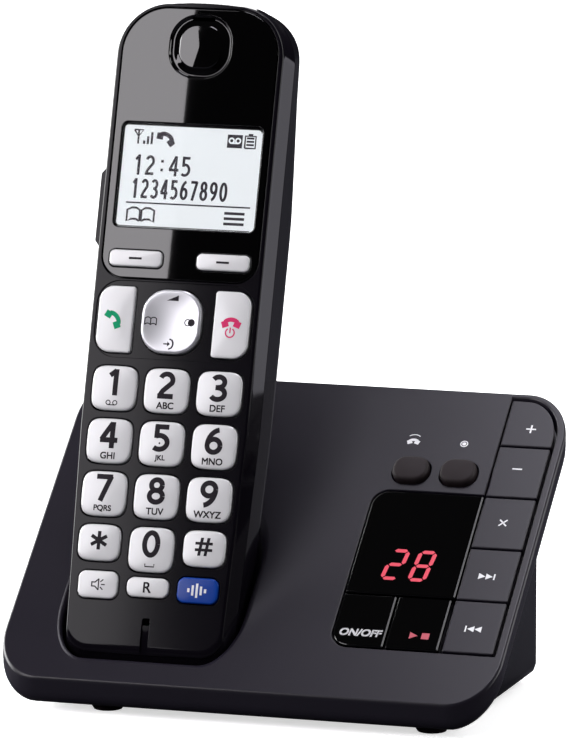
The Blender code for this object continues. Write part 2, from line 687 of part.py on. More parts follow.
def make_bottom_cover(finish):
    flange = base_outline(COVER_WALL + FIT_GAP, COVER_WALL + FIT_GAP)
    rings = [under_face(flange, SKIRT_DROP), under_face(flange, SKIRT_DROP - FLANGE_DEPTH)]
    cover = piece("bottom_cover", rings, finish, None)
    walls = [ring(cabinet_outline(CABINET_FOOT_INSET), BASE_LIFT, upright),
             ring(cabinet_outline(CABINET_FOOT_TUCK), BASE_LIFT + CABINET_FOOT_STEP, upright),
             ring(cabinet_outline(0), BASE_LIFT + CABINET_FOOT_RISE, upright),
             under_face(cabinet_outline(0), SKIRT_DROP - FLANGE_DEPTH / 2, BASE_LIFT + CABINET_FOOT_RISE + FIT_GAP)]
    join(cover, cutter("cabinet_walls", [walls], None))
    inside = [ring(cabinet_outline(CABINET_WALL), BASE_LIFT + CABINET_WALL, upright),
              ring(cabinet_outline(CABINET_WALL), face_height(BACK_Y) + CUT_OVERRUN, upright)]
    cut(cover, cutter("cabinet_inside", [inside], None))
    posts = []
    for x in (STANDOFF_SIDE - BOARD_HALF, BOARD_HALF - STANDOFF_SIDE):
        for y in (FRONT_Y + BOARD_FRONT_GAP + STANDOFF_SIDE, BACK_Y - BOARD_BACK_GAP - STANDOFF_SIDE):
            post = prism(centred(STANDOFF_SIDE, STANDOFF_SIDE, FIT_GAP), BASE_LIFT + CABINET_WALL / 2,
                         BOARD_Z - FIT_GAP, upright)
            posts.append(shifted(post, Vector((x, y, 0))))
    join(cover, cutter("standoffs", posts, None))
    wall_low = -CABINET_WALL - FIT_GAP
    openings = []
    for row in range(GRILLE_SLOTS):
        z = SPEAKER_Z + (row - (GRILLE_SLOTS - 1) / 2) * GRILLE_PITCH
        slot = prism(centred(GRILLE_SLOT_WIDTH, GRILLE_SLOT_HEIGHT, GRILLE_SLOT_HEIGHT / 3),
                     wall_low, FIT_GAP, to_back)
        openings.append(shifted(slot, Vector((SPEAKER_X, CABINET_BACK_Y, z))))
    line = prism(centred(LINE_SOCKET_WIDTH, LINE_SOCKET_HEIGHT, FIT_GAP, 2 * FIT_GAP), wall_low, FIT_GAP, to_back)
    openings.append(shifted(line, Vector((LINE_JACK_X, CABINET_BACK_Y, jack_z(LINE_JACK_HEIGHT)))))
    power = prism(circle(POWER_SOCKET_RADIUS + 2 * FIT_GAP), wall_low, FIT_GAP, to_back)
    openings.append(shifted(power, Vector((POWER_JACK_X, CABINET_BACK_Y, jack_z(POWER_JACK_HEIGHT)))))
    cut(cover, cutter("back_openings", openings, None))


def jack_z(height):
    """Height of a jack's centre, standing on the board."""
    return BOARD_TOP_Z + FIT_GAP + height / 2


def make_feet(finish):
    front = FRONT_Y + FOOT_INSET_FRONT
    back = CABINET_BACK_Y - FOOT_INSET_BACK
    rings = [ring(circle(FOOT_TIP_RADIUS), 0, upright),
             ring(circle(FOOT_RADIUS), BASE_LIFT - FIT_GAP, upright)]
    left = FOOT_INSET_LEFT - BASE_WIDTH / 2
    right = BASE_WIDTH / 2 - FOOT_INSET_RIGHT
    places = (("front_left", left, front), ("front_right", right, front),
              ("rear_left", left, back), ("rear_right", right, back))
    for name, x, y in places:
        piece("foot_" + name, rings, finish, None, (x, y, 0), True)


def stepped_key(name, outline_rings, stem_shift, steps, finish, face, origin):
    """A flush key: a square plunger under a cap, in one body."""
    half = STEM_SIDE / 2
    foot = rounded(stem_shift - half, stem_shift + half, -half, half, FIT_GAP, 1, steps)
    low = -RECESS_DEPTH - RECESS_FLOOR + FIT_GAP
    high = -RECESS_DEPTH + BASE_KEY_TRAVEL + KEY_CLEARANCE
    rings = [ring(foot, low, on_face), ring(foot, high, on_face)] + outline_rings
    return piece(name, rings, finish, face, origin)


def make_column_keys(finish, face):
    names = ("skip_back_key", "skip_forward_key", "erase_key", "volume_down_key", "volume_up_key")
    low = -RECESS_DEPTH + BASE_KEY_TRAVEL + KEY_CLEARANCE
    for row, name in enumerate(names):
        centre = BLOCK_FRONT + KEY_ROW * (row + 0.5)
        origin = Vector((COLUMN_X, centre, 0))
        rings = []
        for rise, inset in ((low, 0), (-KEY_EDGE, 0), (0, KEY_EDGE)):
            half = COLUMN_WIDTH / 2 - inset
            front = -KEY_ROW / 2 + KEY_SEAM / 2 + inset
            if row < COLUMN_ROWS - 1:
                outline = rounded(-half, half, front, -front, KEY_EDGE)
            else:
                back = back_reach(rise) - RIM_GAP / FACE_COS - inset - centre
                corner = min(BASE_CORNER - COLUMN_RIM - 2 * RIM_GAP - inset,
                             (back - front) * FACE_COS * COLUMN_CORNER_SHARE)
                corners = (KEY_EDGE, corner, KEY_EDGE, KEY_EDGE)
                outline = rounded(-half, half, front, back, corners, 1 / FACE_COS, FINE_STEPS)
            rings.append(ring(outline, rise, on_face))
        steps = ARC_STEPS if row < COLUMN_ROWS - 1 else FINE_STEPS
        stepped_key(name, rings, -STEM_OFFSET, steps, finish, face, origin)


def make_block_keys(finish, face):
    low = -RECESS_DEPTH + BASE_KEY_TRAVEL + KEY_CLEARANCE
    middle = BLOCK_FRONT + KEY_ROW / 2
    places = (("answer_key", BLOCK_LEFT + PLAY_WIDTH / 2, BLOCK_CORNER - KEY_SEAM),
              ("play_key", COLUMN_LEFT - BLOCK_KEY_GAP - PLAY_WIDTH / 2, KEY_EDGE))
    for name, x, corner in places:
        rings = []
        for rise, inset in ((low, 0), (-KEY_EDGE, 0), (0, KEY_EDGE)):
            half = PLAY_WIDTH / 2 - inset
            high = KEY_ROW / 2 - KEY_SEAM / 2 - inset
            round_low = max(corner - inset, KEY_EDGE)
            outline = rounded(-half, half, -high, high, (KEY_EDGE, KEY_EDGE, KEY_EDGE, round_low))
            rings.append(ring(outline, rise, on_face))
        stepped_key(name, rings, 0, ARC_STEPS, finish, face, Vector((x, middle, 0)))


def make_window(finish, face):
    low = BLOCK_FRONT + KEY_ROW + KEY_SEAM
    high = BLOCK_FRONT + 3 * KEY_ROW
    corner = BLOCK_CORNER - KEY_SEAM
    rings = []
    for rise, inset in ((-RECESS_DEPTH + FIT_GAP, 0), (-KEY_EDGE, 0), (0, KEY_EDGE)):
        outline = rounded(BLOCK_LEFT + inset, COLUMN_LEFT - KEY_SEAM - inset, low + inset, high - inset,
                          (KEY_EDGE, KEY_EDGE, corner - inset, KEY_EDGE))
        rings.append(ring(outline, rise, on_face))
    piece("display_window", rings, finish, face)


def make_base_electronics(green, dark, metal, face):
    tray_low = -RECESS_DEPTH - RECESS_FLOOR
    board_high = tray_low - FIT_GAP
    board = rounded(KEY_BOARD_LEFT, KEY_BOARD_RIGHT, BLOCK_FRONT, KEY_BOARD_BACK, KEY_EDGE)
    piece("key_board", prism(board, board_high - KEY_BOARD_THICKNESS, board_high, on_face), green, face)
    led = prism(centred(LED_WIDTH, LED_HEIGHT, KEY_EDGE), board_high + FIT_GAP, -RECESS_DEPTH, on_face)
    piece("led_display", led, dark, face, on_face(LED_X, LED_S, 0))
    plate = rounded(-BOARD_HALF, BOARD_HALF, FRONT_Y + BOARD_FRONT_GAP, BACK_Y - BOARD_BACK_GAP, KEY_EDGE)
    piece("base_board", prism(plate, BOARD_Z, BOARD_TOP_Z, upright), green, None)
    back = -CABINET_WALL - FIT_GAP
    cone = SPEAKER_RIM
    rings = [ring(circle(SPEAKER_MAGNET_RADIUS), back - SPEAKER_DEPTH, to_back),
             ring(circle(SPEAKER_MAGNET_RADIUS), back - SPEAKER_DEPTH / 2, to_back),
             ring(circle(SPEAKER_RADIUS), back - SPEAKER_RIM, to_back),
             ring(circle(SPEAKER_RADIUS), back, to_back),
             ring(circle(SPEAKER_RADIUS - cone), back, to_back),
             ring(circle(SPEAKER_MAGNET_RADIUS - cone), back - SPEAKER_DEPTH / 3, to_back)]
    piece("base_speaker", rings, dark, None, (SPEAKER_X, CABINET_BACK_Y, SPEAKER_Z), True)
    for name, x, width, height, depth in (
            ("line_jack", LINE_JACK_X, LINE_JACK_WIDTH, LINE_JACK_HEIGHT, LINE_JACK_DEPTH),
            ("power_jack", POWER_JACK_X, POWER_JACK_WIDTH, POWER_JACK_HEIGHT, POWER_JACK_DEPTH)):
        jack = piece(name, prism(centred(width, height, FIT_GAP), back - depth, back, to_back), dark, None,
                     (x, CABINET_BACK_Y, jack_z(height)))
        if name == "line_jack":
            socket = prism(centred(LINE_SOCKET_WIDTH, LINE_SOCKET_HEIGHT, FIT_GAP),
                           back - LINE_SOCKET_DEPTH, back + CUT_OVERRUN, to_back)
            sockets = [socket]
        else:
            outer = circle(POWER_SOCKET_RADIUS)
            pin = circle(POWER_PIN_RADIUS)
            pin_tip = back - POWER_SOCKET_DEPTH / 5
            sockets = [[ring(outer, back + CUT_OVERRUN, to_back), ring(outer, back - POWER_SOCKET_DEPTH, to_back),
                        ring(pin, back - POWER_SOCKET_DEPTH, to_back), ring(pin, pin_tip, to_back)]]
        sockets = [shifted(rings, Vector((x, CABINET_BACK_Y, jack_z(height)))) for rings in sockets]
        cut(jack, cutter(name + "_socket", sockets, None))
    for side, name in ((-1, "left"), (1, "right")):
        under = POCKET_FLOOR_Z - POCKET_WALL - FIT_GAP
        blade = centred(CONTACT_WIDTH, CONTACT_LENGTH, KEY_EDGE)
        collar = centred(CONTACT_WIDTH, CONTACT_LENGTH, KEY_EDGE, CONTACT_FLANGE)
        rings = [ring(collar, under - CONTACT_FLANGE, upright), ring(collar, under, upright),
                 ring(blade, under, upright), ring(blade, DOCK_Z + CONTACT_RISE - FIT_GAP, upright)]
        piece("cradle_contact_" + name, rings, metal, None, contact_place(side))


def make_locators(finish, face):
    seat = -COVER_WALL - FIT_GAP
    levels = ((seat - LOCATOR_FLANGE, LOCATOR_FLANGE), (seat, LOCATOR_FLANGE), (seat, 0),
              (LOCATOR_RISE - LOCATOR_EDGE, 0), (LOCATOR_RISE, -LOCATOR_EDGE))
    rings = [ring(centred(LOCATOR_WIDTH, LOCATOR_HEIGHT, LOCATOR_CORNER, grow, KEY_STEPS), rise, on_face)
             for rise, grow in levels]
    piece("locator_key_left", rings, finish, face, (LOCATOR_X, LOCATOR_S, 0), True)
    piece("locator_key_right", rings, finish, face, (LOCATOR_X + LOCATOR_PITCH, LOCATOR_S, 0), True)


def key_table():
    """Name, u, v, width, height, corner and top of each pressed key of the handset."""
    rows = []
    for index in range(9):
        row, column = divmod(index, 3)
        rows.append((f"key_{index + 1}", (column - 1) * DIGIT_COLUMN, DIGIT_V - row * DIGIT_PITCH,
                     DIGIT_WIDTH, DIGIT_HEIGHT, min(KEY_CORNER, DIGIT_HEIGHT * KEY_CORNER_SHARE)))
    zero_v = DIGIT_V - 3 * DIGIT_PITCH
    sign_v = zero_v + (DIGIT_HEIGHT - SIGN_HEIGHT) / 2
    digit_corner = min(KEY_CORNER, DIGIT_HEIGHT * KEY_CORNER_SHARE)
    sign_corner = min(KEY_CORNER, SIGN_HEIGHT * KEY_CORNER_SHARE)
    rows.append(("key_star", -DIGIT_COLUMN, sign_v, SIGN_WIDTH, SIGN_HEIGHT, sign_corner))
    rows.append(("key_0", 0, zero_v, DIGIT_WIDTH, DIGIT_HEIGHT, digit_corner))
    rows.append(("key_hash", DIGIT_COLUMN, sign_v, SIGN_WIDTH, SIGN_HEIGHT, sign_corner))
    rows.append(("speakerphone_key", -LAST_ROW_U, LAST_ROW_V, SPEAKERPHONE_WIDTH, SPEAKERPHONE_HEIGHT,
                 SMALL_KEY_CORNER))
    rows.append(("recall_key", 0, LAST_ROW_V, RECALL_WIDTH, RECALL_HEIGHT, SMALL_KEY_CORNER))
    rows.append(("noise_filter_key", LAST_ROW_U, LAST_ROW_V, NOISE_WIDTH, NOISE_HEIGHT, SMALL_KEY_CORNER))
    rows.append(("talk_key", -CALL_U, CALL_V, CALL_WIDTH, CALL_HEIGHT, SMALL_KEY_CORNER))
    rows.append(("off_key", CALL_U, CALL_V, CALL_WIDTH, CALL_HEIGHT, SMALL_KEY_CORNER))
    for side, name in ((-1, "soft_key_left"), (1, "soft_key_right")):
        rows.append((name, side * SOFT_U, SOFT_V, SOFT_WIDTH, SOFT_HEIGHT, SOFT_HEIGHT / 3))
    return rows


def make_keys(white, blue, handset):
    for name, u, v, width, height, corner in key_table():
        levels = ((-FLANGE_SEAT - KEY_FLANGE_THICKNESS, KEY_FLANGE), (-FLANGE_SEAT, KEY_FLANGE), (-FLANGE_SEAT, 0),
                  (KEY_RISE - KEY_TOP_ROUND, 0), (KEY_RISE, -KEY_TOP_ROUND))
        rings = [ring(centred(width, height, corner, grow, KEY_STEPS), rise, on_handset) for rise, grow in levels]
        finish = blue if name == "noise_filter_key" else white
        piece(name, rings, finish, handset, on_handset(u, v, 0), True)


def make_navigator(silver, dark, handset):
    """The four-way key rocks on a small block, which itself rocks on the board side."""
    centre = on_handset(NAVIGATOR_U, CALL_V, -HOUSING_WALL)
    seat = -NAVIGATOR_FLANGE_DROP - FIT_GAP
    top = HOUSING_WALL + KEY_RISE
    levels = ((seat - KEY_FLANGE_THICKNESS + FIT_GAP, KEY_FLANGE), (seat, KEY_FLANGE), (seat, 0),
              (top - KEY_TOP_ROUND, 0), (top, -KEY_TOP_ROUND))
    rings = [ring(centred(NAVIGATOR_WIDTH, NAVIGATOR_HEIGHT, NAVIGATOR_CORNER, grow, FINE_STEPS), rise, on_handset)
             for rise, grow in levels]
    key = piece("navigator_key", rings, silver, handset, centre, True)
    mat_rise = HOUSING_WALL - MAT_DEPTH
    socket_side = PIVOT_SIDE + 2 * PIVOT_CLEARANCE
    socket = prism(centred(socket_side, socket_side, FIT_GAP), mat_rise, HOUSING_WALL / 2 + FIT_GAP, on_handset)
    cut(key, cutter("navigator_socket", [shifted(socket, centre)], handset))
    block = prism(centred(PIVOT_SIDE, PIVOT_SIDE, FIT_GAP), mat_rise + FIT_GAP, HOUSING_WALL / 2, on_handset)
    piece("navigator_pivot", block, dark, handset, centre)


def plate_outline(margin):
    half = HANDSET_WIDTH / 2 - FACE_INSET - PLATE_RIM - margin
    high = HANDSET_TOP - FACE_INSET + BOTTOM_CURL * TOP_LIFT_SHARE - PLATE_RIM - TOP_CROWN - margin
    top_corner = TOP_CORNER * CORNER_TIGHTEN / (CORNER_TIGHTEN + FACE_INSET) - PLATE_RIM - margin
    low_corner = PLATE_CORNER - margin
    corners = (low_corner, top_corner, top_corner, low_corner)
    return rounded(-half, half, PLATE_BOTTOM + margin, high, corners, 1, FINE_STEPS)


def make_front_housing(finish, handset):
    curl = BOTTOM_CURL
    step_depth = FACE_EDGE + (PARTING_DEPTH - FACE_EDGE) * CURL_STEP_SHARE
    step_inset = SIDE_FLARE * (1 - CURL_STEP_SHARE)
    rings = [handset_ring(FACE_INSET, 0, curl),
             handset_ring(SIDE_FLARE, FACE_EDGE, curl * EDGE_CURL_SHARE),
             handset_ring(step_inset, step_depth, curl * CURL_STEP_CURL_SHARE),
             handset_ring(0, PARTING_DEPTH),
             handset_ring(SIDE_WALL, PARTING_DEPTH),
             handset_ring(SIDE_WALL + step_inset, HOUSING_WALL, curl * INNER_CURL_SHARE)]
    housing = piece("front_housing", rings, finish, handset)
    low = -HOUSING_WALL - CUT_OVERRUN / 4
    recess = prism(plate_outline(0), -PLATE_THICKNESS - FIT_GAP, CUT_OVERRUN, on_handset)
    band_half = HANDSET_WIDTH / 2 - FACE_INSET - PLATE_RIM
    band = prism(rounded(-band_half, band_half, BAND_BOTTOM, BAND_TOP, PLATE_CORNER), -BAND_DEPTH, CUT_OVERRUN,
                 on_handset)
    cut(housing, cutter("face_recesses", [recess, band], handset))
    holes = []
    for name, u, v, width, height, corner in key_table():
        outline = centred(width, height, corner, FIT_GAP, KEY_STEPS)
        holes.append(shifted(prism(outline, low, CUT_OVERRUN, on_handset), on_handset(u, v, 0)))
    outline = centred(NAVIGATOR_WIDTH, NAVIGATOR_HEIGHT, NAVIGATOR_CORNER, NAVIGATOR_CLEARANCE, FINE_STEPS)
    holes.append(shifted(prism(outline, low, CUT_OVERRUN, on_handset), on_handset(NAVIGATOR_U, CALL_V, 0)))
    half = LENS_WIDTH / 2 - LENS_SEAT
    window = rounded(-half, half, LENS_BOTTOM + LENS_SEAT, LENS_TOP - LENS_SEAT, LENS_CORNER)
    holes.append(prism(window, low, CUT_OVERRUN, on_handset))
    slot = prism(centred(SOUND_SLOT_WIDTH, SOUND_SLOT_HEIGHT, FIT_GAP), low, CUT_OVERRUN, on_handset)
    holes.append(shifted(slot, on_handset(0, sound_slot_v(), 0)))
    mic = prism(centred(MIC_SLOT_WIDTH, MIC_SLOT_HEIGHT, FIT_GAP), low, CUT_OVERRUN, on_handset)
    holes.append(shifted(mic, on_handset(MIC_U, MIC_V, 0)))
    cut(housing, cutter("face_openings", holes, handset))
    groove = rounded(MIC_U - MIC_SLOT_WIDTH / 2, MIC_U + MIC_SLOT_WIDTH / 2, HANDSET_BOTTOM,
                     MIC_V - MIC_SLOT_HEIGHT / 2 - FIT_GAP, FIT_GAP)
    cut(housing, cutter("mic_groove", [prism(groove, -MIC_GROOVE_DEPTH, CUT_OVERRUN, on_handset)], handset))


def sound_slot_v():
    """The sound slot lies in the ring round the earpiece, at its top."""
    return EARPIECE_V + EARPIECE_HEIGHT / 2 - EARPIECE_RING / 2


def make_plate(finish, handset):
    clearance = FIT_GAP
    rings = [ring(plate_outline(clearance), -PLATE_THICKNESS, on_handset), ring(plate_outline(clearance), 0, on_handset)]
    plate = piece("face_plate", rings, finish, handset)
    earpiece = centred(EARPIECE_WIDTH, EARPIECE_HEIGHT, EARPIECE_CORNER, 0, FINE_STEPS)
    inner = centred(EARPIECE_WIDTH, EARPIECE_HEIGHT, EARPIECE_CORNER, -EARPIECE_RING, FINE_STEPS)
    moat = [ring(earpiece, CUT_OVERRUN, on_handset), ring(earpiece, -EARPIECE_DEPTH, on_handset),
            ring(inner, -EARPIECE_DEPTH, on_handset), ring(inner, -EARPIECE_DEPTH / 5, on_handset)]
    cut(plate, cutter("earpiece_ring", [shifted(moat, on_handset(0, EARPIECE_V, 0))], handset))
    low = -PLATE_THICKNESS - FIT_GAP
    holes = []
    half = LENS_WIDTH / 2 + FIT_GAP
    window = rounded(-half, half, LENS_BOTTOM - FIT_GAP, LENS_TOP + FIT_GAP, LENS_CORNER + FIT_GAP)
    holes.append(prism(window, low, CUT_OVERRUN, on_handset))
    for side in (-1, 1):
        outline = centred(SOFT_WIDTH, SOFT_HEIGHT, SOFT_HEIGHT / 3, FIT_GAP)
        holes.append(shifted(prism(outline, low, CUT_OVERRUN, on_handset), on_handset(side * SOFT_U, SOFT_V, 0)))
    slot = prism(centred(SOUND_SLOT_WIDTH, SOUND_SLOT_HEIGHT, FIT_GAP), low, CUT_OVERRUN, on_handset)
    holes.append(shifted(slot, on_handset(0, sound_slot_v(), 0)))
    cut(plate, cutter("plate_holes", holes, handset))


def make_display(lens_finish, lcd_finish, handset):
    half = LENS_WIDTH / 2
    lens = rounded(-half, half, LENS_BOTTOM, LENS_TOP, LENS_CORNER)
    piece("display_lens", prism(lens, -PLATE_THICKNESS, 0, on_handset), lens_finish, handset)
    glass_half = half - LENS_SEAT - FIT_GAP
    glass = rounded(-glass_half, glass_half, LENS_BOTTOM + LENS_SEAT + FIT_GAP, LENS_TOP - LENS_SEAT - FIT_GAP,
                    LENS_CORNER)
    body_half = half + LCD_MARGIN
    base = rounded(-body_half, body_half, LENS_BOTTOM - LCD_MARGIN, LENS_TOP + LCD_MARGIN, LENS_CORNER)
    rings = [ring(base, -HANDSET_BOARD_DEPTH + FIT_GAP, on_handset), ring(base, -FLANGE_SEAT, on_handset),
             ring(glass, -FLANGE_SEAT, on_handset), ring(glass, -PLATE_THICKNESS - FIT_GAP, on_handset)]
    piece("lcd_module", rings, lcd_finish, handset)


def make_handset_electronics(green, dark, rubber, handset):
    half = HANDSET_BOARD_WIDTH / 2
    corners = (BATTERY_COVER_CORNER, HANDSET_BOARD_CORNER, HANDSET_BOARD_CORNER, BATTERY_COVER_CORNER)
    board = rounded(-half, half, HANDSET_BOARD_BOTTOM, HANDSET_BOARD_TOP, corners)
    piece("handset_board", prism(board, -HANDSET_BOARD_BACK, -HANDSET_BOARD_DEPTH, on_handset), green, handset)
    mat = rounded(-MAT_WIDTH / 2, MAT_WIDTH / 2, MAT_BOTTOM, MAT_TOP, BATTERY_COVER_CORNER)
    piece("keypad_mat", prism(mat, -MAT_DEPTH - MAT_THICKNESS, -MAT_DEPTH, on_handset), rubber, handset)
    rings = [ring(circle(EAR_SPEAKER_RADIUS), -FLANGE_SEAT - EAR_SPEAKER_DEPTH, on_handset),
             ring(circle(EAR_SPEAKER_RADIUS), -FLANGE_SEAT, on_handset)]
    piece("earpiece_speaker", rings, dark, handset, on_handset(0, EARPIECE_V, 0), True)


def thickness(v):
    """Depth of the handset's back, which slopes forward toward the head."""
    return HANDSET_THICKNESS - REAR_TAPER_SHARE * max(v - REAR_TAPER_START, 0)


def rear_rings(wall):
    """Rings of the rear shell from its parting line to its back, for the outside or the inside."""
    rings = [handset_ring(wall, PARTING_DEPTH + FIT_GAP)]
    plan = handset_outline(0, PARTING_DEPTH, 0)
    for step in range(REAR_STEPS + 1):
        angle = math.radians(90) * step / REAR_STEPS
        points = []
        inset = REAR_DRAFT + wall + (REAR_ROUND - wall) * (1 - math.cos(angle))
        for index, (u, v) in enumerate(plan):
            depth = thickness(v) - REAR_ROUND + (REAR_ROUND - wall) * math.sin(angle)
            across, along = handset_outline(inset, depth, 0)[index]
            points.append(on_handset(across, along, -depth))
        rings.append(points)
    return rings


def make_rear_housing(finish, handset):
    rings = list(reversed(rear_rings(0))) + rear_rings(SIDE_WALL)
    housing = piece("rear_housing", rings, finish, handset, strips=True)
    wall_in = -HANDSET_THICKNESS + SIDE_WALL / 2
    cover_half = BATTERY_COVER_WIDTH / 2
    ledge = rounded(-cover_half - LEDGE_MARGIN, cover_half + LEDGE_MARGIN, BATTERY_COVER_BOTTOM - LEDGE_MARGIN,
                    BATTERY_COVER_TOP + LEDGE_MARGIN, BATTERY_COVER_CORNER)
    join(housing, cutter("cover_ledge", [prism(ledge, -COVER_SEAT + LEDGE_THICKNESS, wall_in, on_handset)], handset))
    bay_half = 2 * CELL_RADIUS + CELL_GAP / 2 + CELL_GAP
    bay = rounded(-bay_half - BAY_WALL, bay_half + BAY_WALL, BAY_BOTTOM - BAY_WALL, BAY_BOTTOM + BAY_LENGTH + BAY_WALL,
                  KEY_TOP_ROUND)
    join(housing, cutter("bay_box", [prism(bay, -BAY_FLOOR + BAY_WALL, wall_in, on_handset)], handset))
    ribs = []
    for v in (LOWER_RIB_V, UPPER_RIB_V):
        rib = prism(centred(RIB_WIDTH, RIB_THICKNESS, FIT_GAP), SIDE_WALL / 2 - thickness(v),
                    -HANDSET_BOARD_BACK - FIT_GAP, on_handset)
        ribs.append(shifted(rib, on_handset(0, v, 0)))
    join(housing, cutter("board_ribs", ribs, handset))
    mouth = rounded(-cover_half - FIT_GAP, cover_half + FIT_GAP, BATTERY_COVER_BOTTOM - FIT_GAP,
                    BATTERY_COVER_TOP + FIT_GAP, BATTERY_COVER_CORNER + FIT_GAP)
    inside = rounded(-bay_half, bay_half, BAY_BOTTOM, BAY_BOTTOM + BAY_LENGTH, KEY_TOP_ROUND)
    cut(housing, cutter("cover_recess", [prism(mouth, -HANDSET_THICKNESS - CUT_OVERRUN, -COVER_SEAT, on_handset)],
                        handset))
    cut(housing, cutter("bay_hollow", [prism(inside, -HANDSET_THICKNESS - CUT_OVERRUN, -BAY_FLOOR, on_handset)],
                        handset))
    side = side_key_outline(SIDE_KEY_CLEARANCE)
    out = -HANDSET_WIDTH / 2 - CUT_OVERRUN
    inward = -HANDSET_WIDTH / 2 + SIDE_WALL + CUT_OVERRUN / 2
    slot = [side_ring(side, out), side_ring(side, inward)]
    cut(housing, cutter("side_key_slot", [slot], handset))
    windows = []
    for way in (-1, 1):
        hole = prism(centred(CHARGE_PLATE_WIDTH, CHARGE_PLATE_LENGTH, FIT_GAP, FIT_GAP),
                     DOCK_Z - CUT_OVERRUN, DOCK_Z + CUT_OVERRUN, upright)
        windows.append(shifted(hole, contact_place(way)))
    cut(housing, cutter("charge_windows", windows, None))


def side_key_outline(grow):
    """Side view of the side key in (depth, v), round its middle."""
    return centred(SIDE_KEY_WIDTH, SIDE_KEY_LENGTH, KEY_EDGE, grow)


def side_ring(outline, u):
    return [Vector((u, SIDE_KEY_DEPTH + depth, SIDE_KEY_V + v)) for depth, v in outline]


def make_side_key(finish, handset):
    """A rocker in the left flank, on a cross axis at its middle."""
    wall_out = -HANDSET_WIDTH / 2
    wall_in = wall_out + SIDE_WALL + REAR_DRAFT
    flange_out = wall_in + SIDE_KEY_FLANGE_GAP
    pivot = Vector((wall_out, SIDE_KEY_DEPTH, SIDE_KEY_V))
    slant = centred(SIDE_KEY_WIDTH - KEY_TOP_ROUND, SIDE_KEY_LENGTH - 2 * SIDE_KEY_SLANT, KEY_EDGE)
    rings = [side_ring(slant, wall_out - SIDE_KEY_RISE),
             side_ring(side_key_outline(0), wall_out),
             side_ring(side_key_outline(0), flange_out),
             side_ring(side_key_outline(SIDE_KEY_FLANGE), flange_out),
             side_ring(side_key_outline(SIDE_KEY_FLANGE), flange_out + SIDE_KEY_FLANGE)]
    piece("side_key", shifted(rings, -pivot), finish, handset, pivot)


def make_battery(cell_finish, cover_finish, handset):
    half = BATTERY_COVER_WIDTH / 2
    cover = rounded(-half, half, BATTERY_COVER_BOTTOM, BATTERY_COVER_TOP, BATTERY_COVER_CORNER)
    levels = prism(cover, -HANDSET_THICKNESS, -COVER_SEAT - FIT_GAP, on_handset)
    piece("battery_cover", levels, cover_finish, handset)
    low = BAY_BOTTOM + BAY_END_GAP
    can_top = low + CELL_LENGTH - CELL_NUB_LENGTH
    profile = ((CELL_RADIUS, low), (CELL_RADIUS, can_top), (CELL_NUB_RADIUS, can_top),
               (CELL_NUB_RADIUS, low + CELL_LENGTH))
    for side, name in ((-1, "left"), (1, "right")):
        rings = [[Vector((x, y, v)) for x, y in circle(radius)] for radius, v in profile]
        piece("battery_cell_" + name, rings, cell_finish, handset,
              (side * (CELL_RADIUS + CELL_GAP / 2), CELL_DEPTH, 0), True)


def make_charge_plates(metal):
    low = DOCK_Z + CONTACT_RISE
    plate = centred(CHARGE_PLATE_WIDTH, CHARGE_PLATE_LENGTH, KEY_EDGE)
    for side, name in ((-1, "left"), (1, "right")):
        piece("charge_plate_" + name, prism(plate, low, low + CHARGE_PLATE_THICKNESS, upright), metal, None,
              contact_place(side))


def build():
    clear_scene()
    charcoal = material("charcoal_satin", (0.030, 0.026, 0.036), 0.42)
    dark_shell = material("black_satin", (0.010, 0.009, 0.012), 0.38)
    gloss = material("piano_black", (0.004, 0.004, 0.005), 0.06)
    white = material("key_white", (0.72, 0.72, 0.74), 0.35)
    silver = material("navigator_silver", (0.62, 0.62, 0.65), 0.28, 0.6)
    blue = material("key_blue", (0.012, 0.075, 0.42), 0.30)
    rubber = material("black_rubber", (0.016, 0.014, 0.016), 0.75)
    board = material("circuit_board", (0.020, 0.150, 0.060), 0.50)
    part_black = material("component_black", (0.020, 0.020, 0.022), 0.55)
    metal = material("contact_nickel", (0.70, 0.66, 0.58), 0.25, 1.0)
    lens = material("display_clear", (0.85, 0.87, 0.88), 0.08)
    lcd = material("lcd_grey", (0.70, 0.74, 0.72), 0.40)
    cell = material("cell_wrap", (0.060, 0.180, 0.100), 0.35)

    face = empty("face_frame", (0, FRONT_Y, LIP_HEIGHT), FACE_TILT)
    handset = empty("handset_frame", (HANDSET_X, HANDSET_Y, HANDSET_LIFT), -HANDSET_LEAN)
    bpy.context.view_layer.update()

    make_top_cover(charcoal, face)
    make_bottom_cover(dark_shell)
    make_feet(rubber)
    make_column_keys(charcoal, face)
    make_block_keys(gloss, face)
    make_window(gloss, face)
    make_locators(rubber, face)
    make_base_electronics(board, part_black, metal, face)
    make_front_housing(charcoal, handset)
    make_rear_housing(dark_shell, handset)
    make_plate(gloss, handset)
    make_display(lens, lcd, handset)
    make_keys(white, blue, handset)
    make_navigator(silver, part_black, handset)
    make_side_key(dark_shell, handset)
    make_handset_electronics(board, part_black, rubber, handset)
    make_battery(cell, dark_shell, handset)
    make_charge_plates(metal)
    bpy.context.view_layer.update()


build()
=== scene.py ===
# %% [markdown]
# A cordless telephone in its answering-machine base
# The handset leans in the pocket of a wedge-shaped base, and the base holds the answering machine.
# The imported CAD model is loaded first, as a fixed frame. Each visible piece is then either kept and
# given its finish, or covered by a finer surface that is worked out in the same place. Lengths are in
# metres, as in the CAD model.

# %% Load the frame
import json
import math

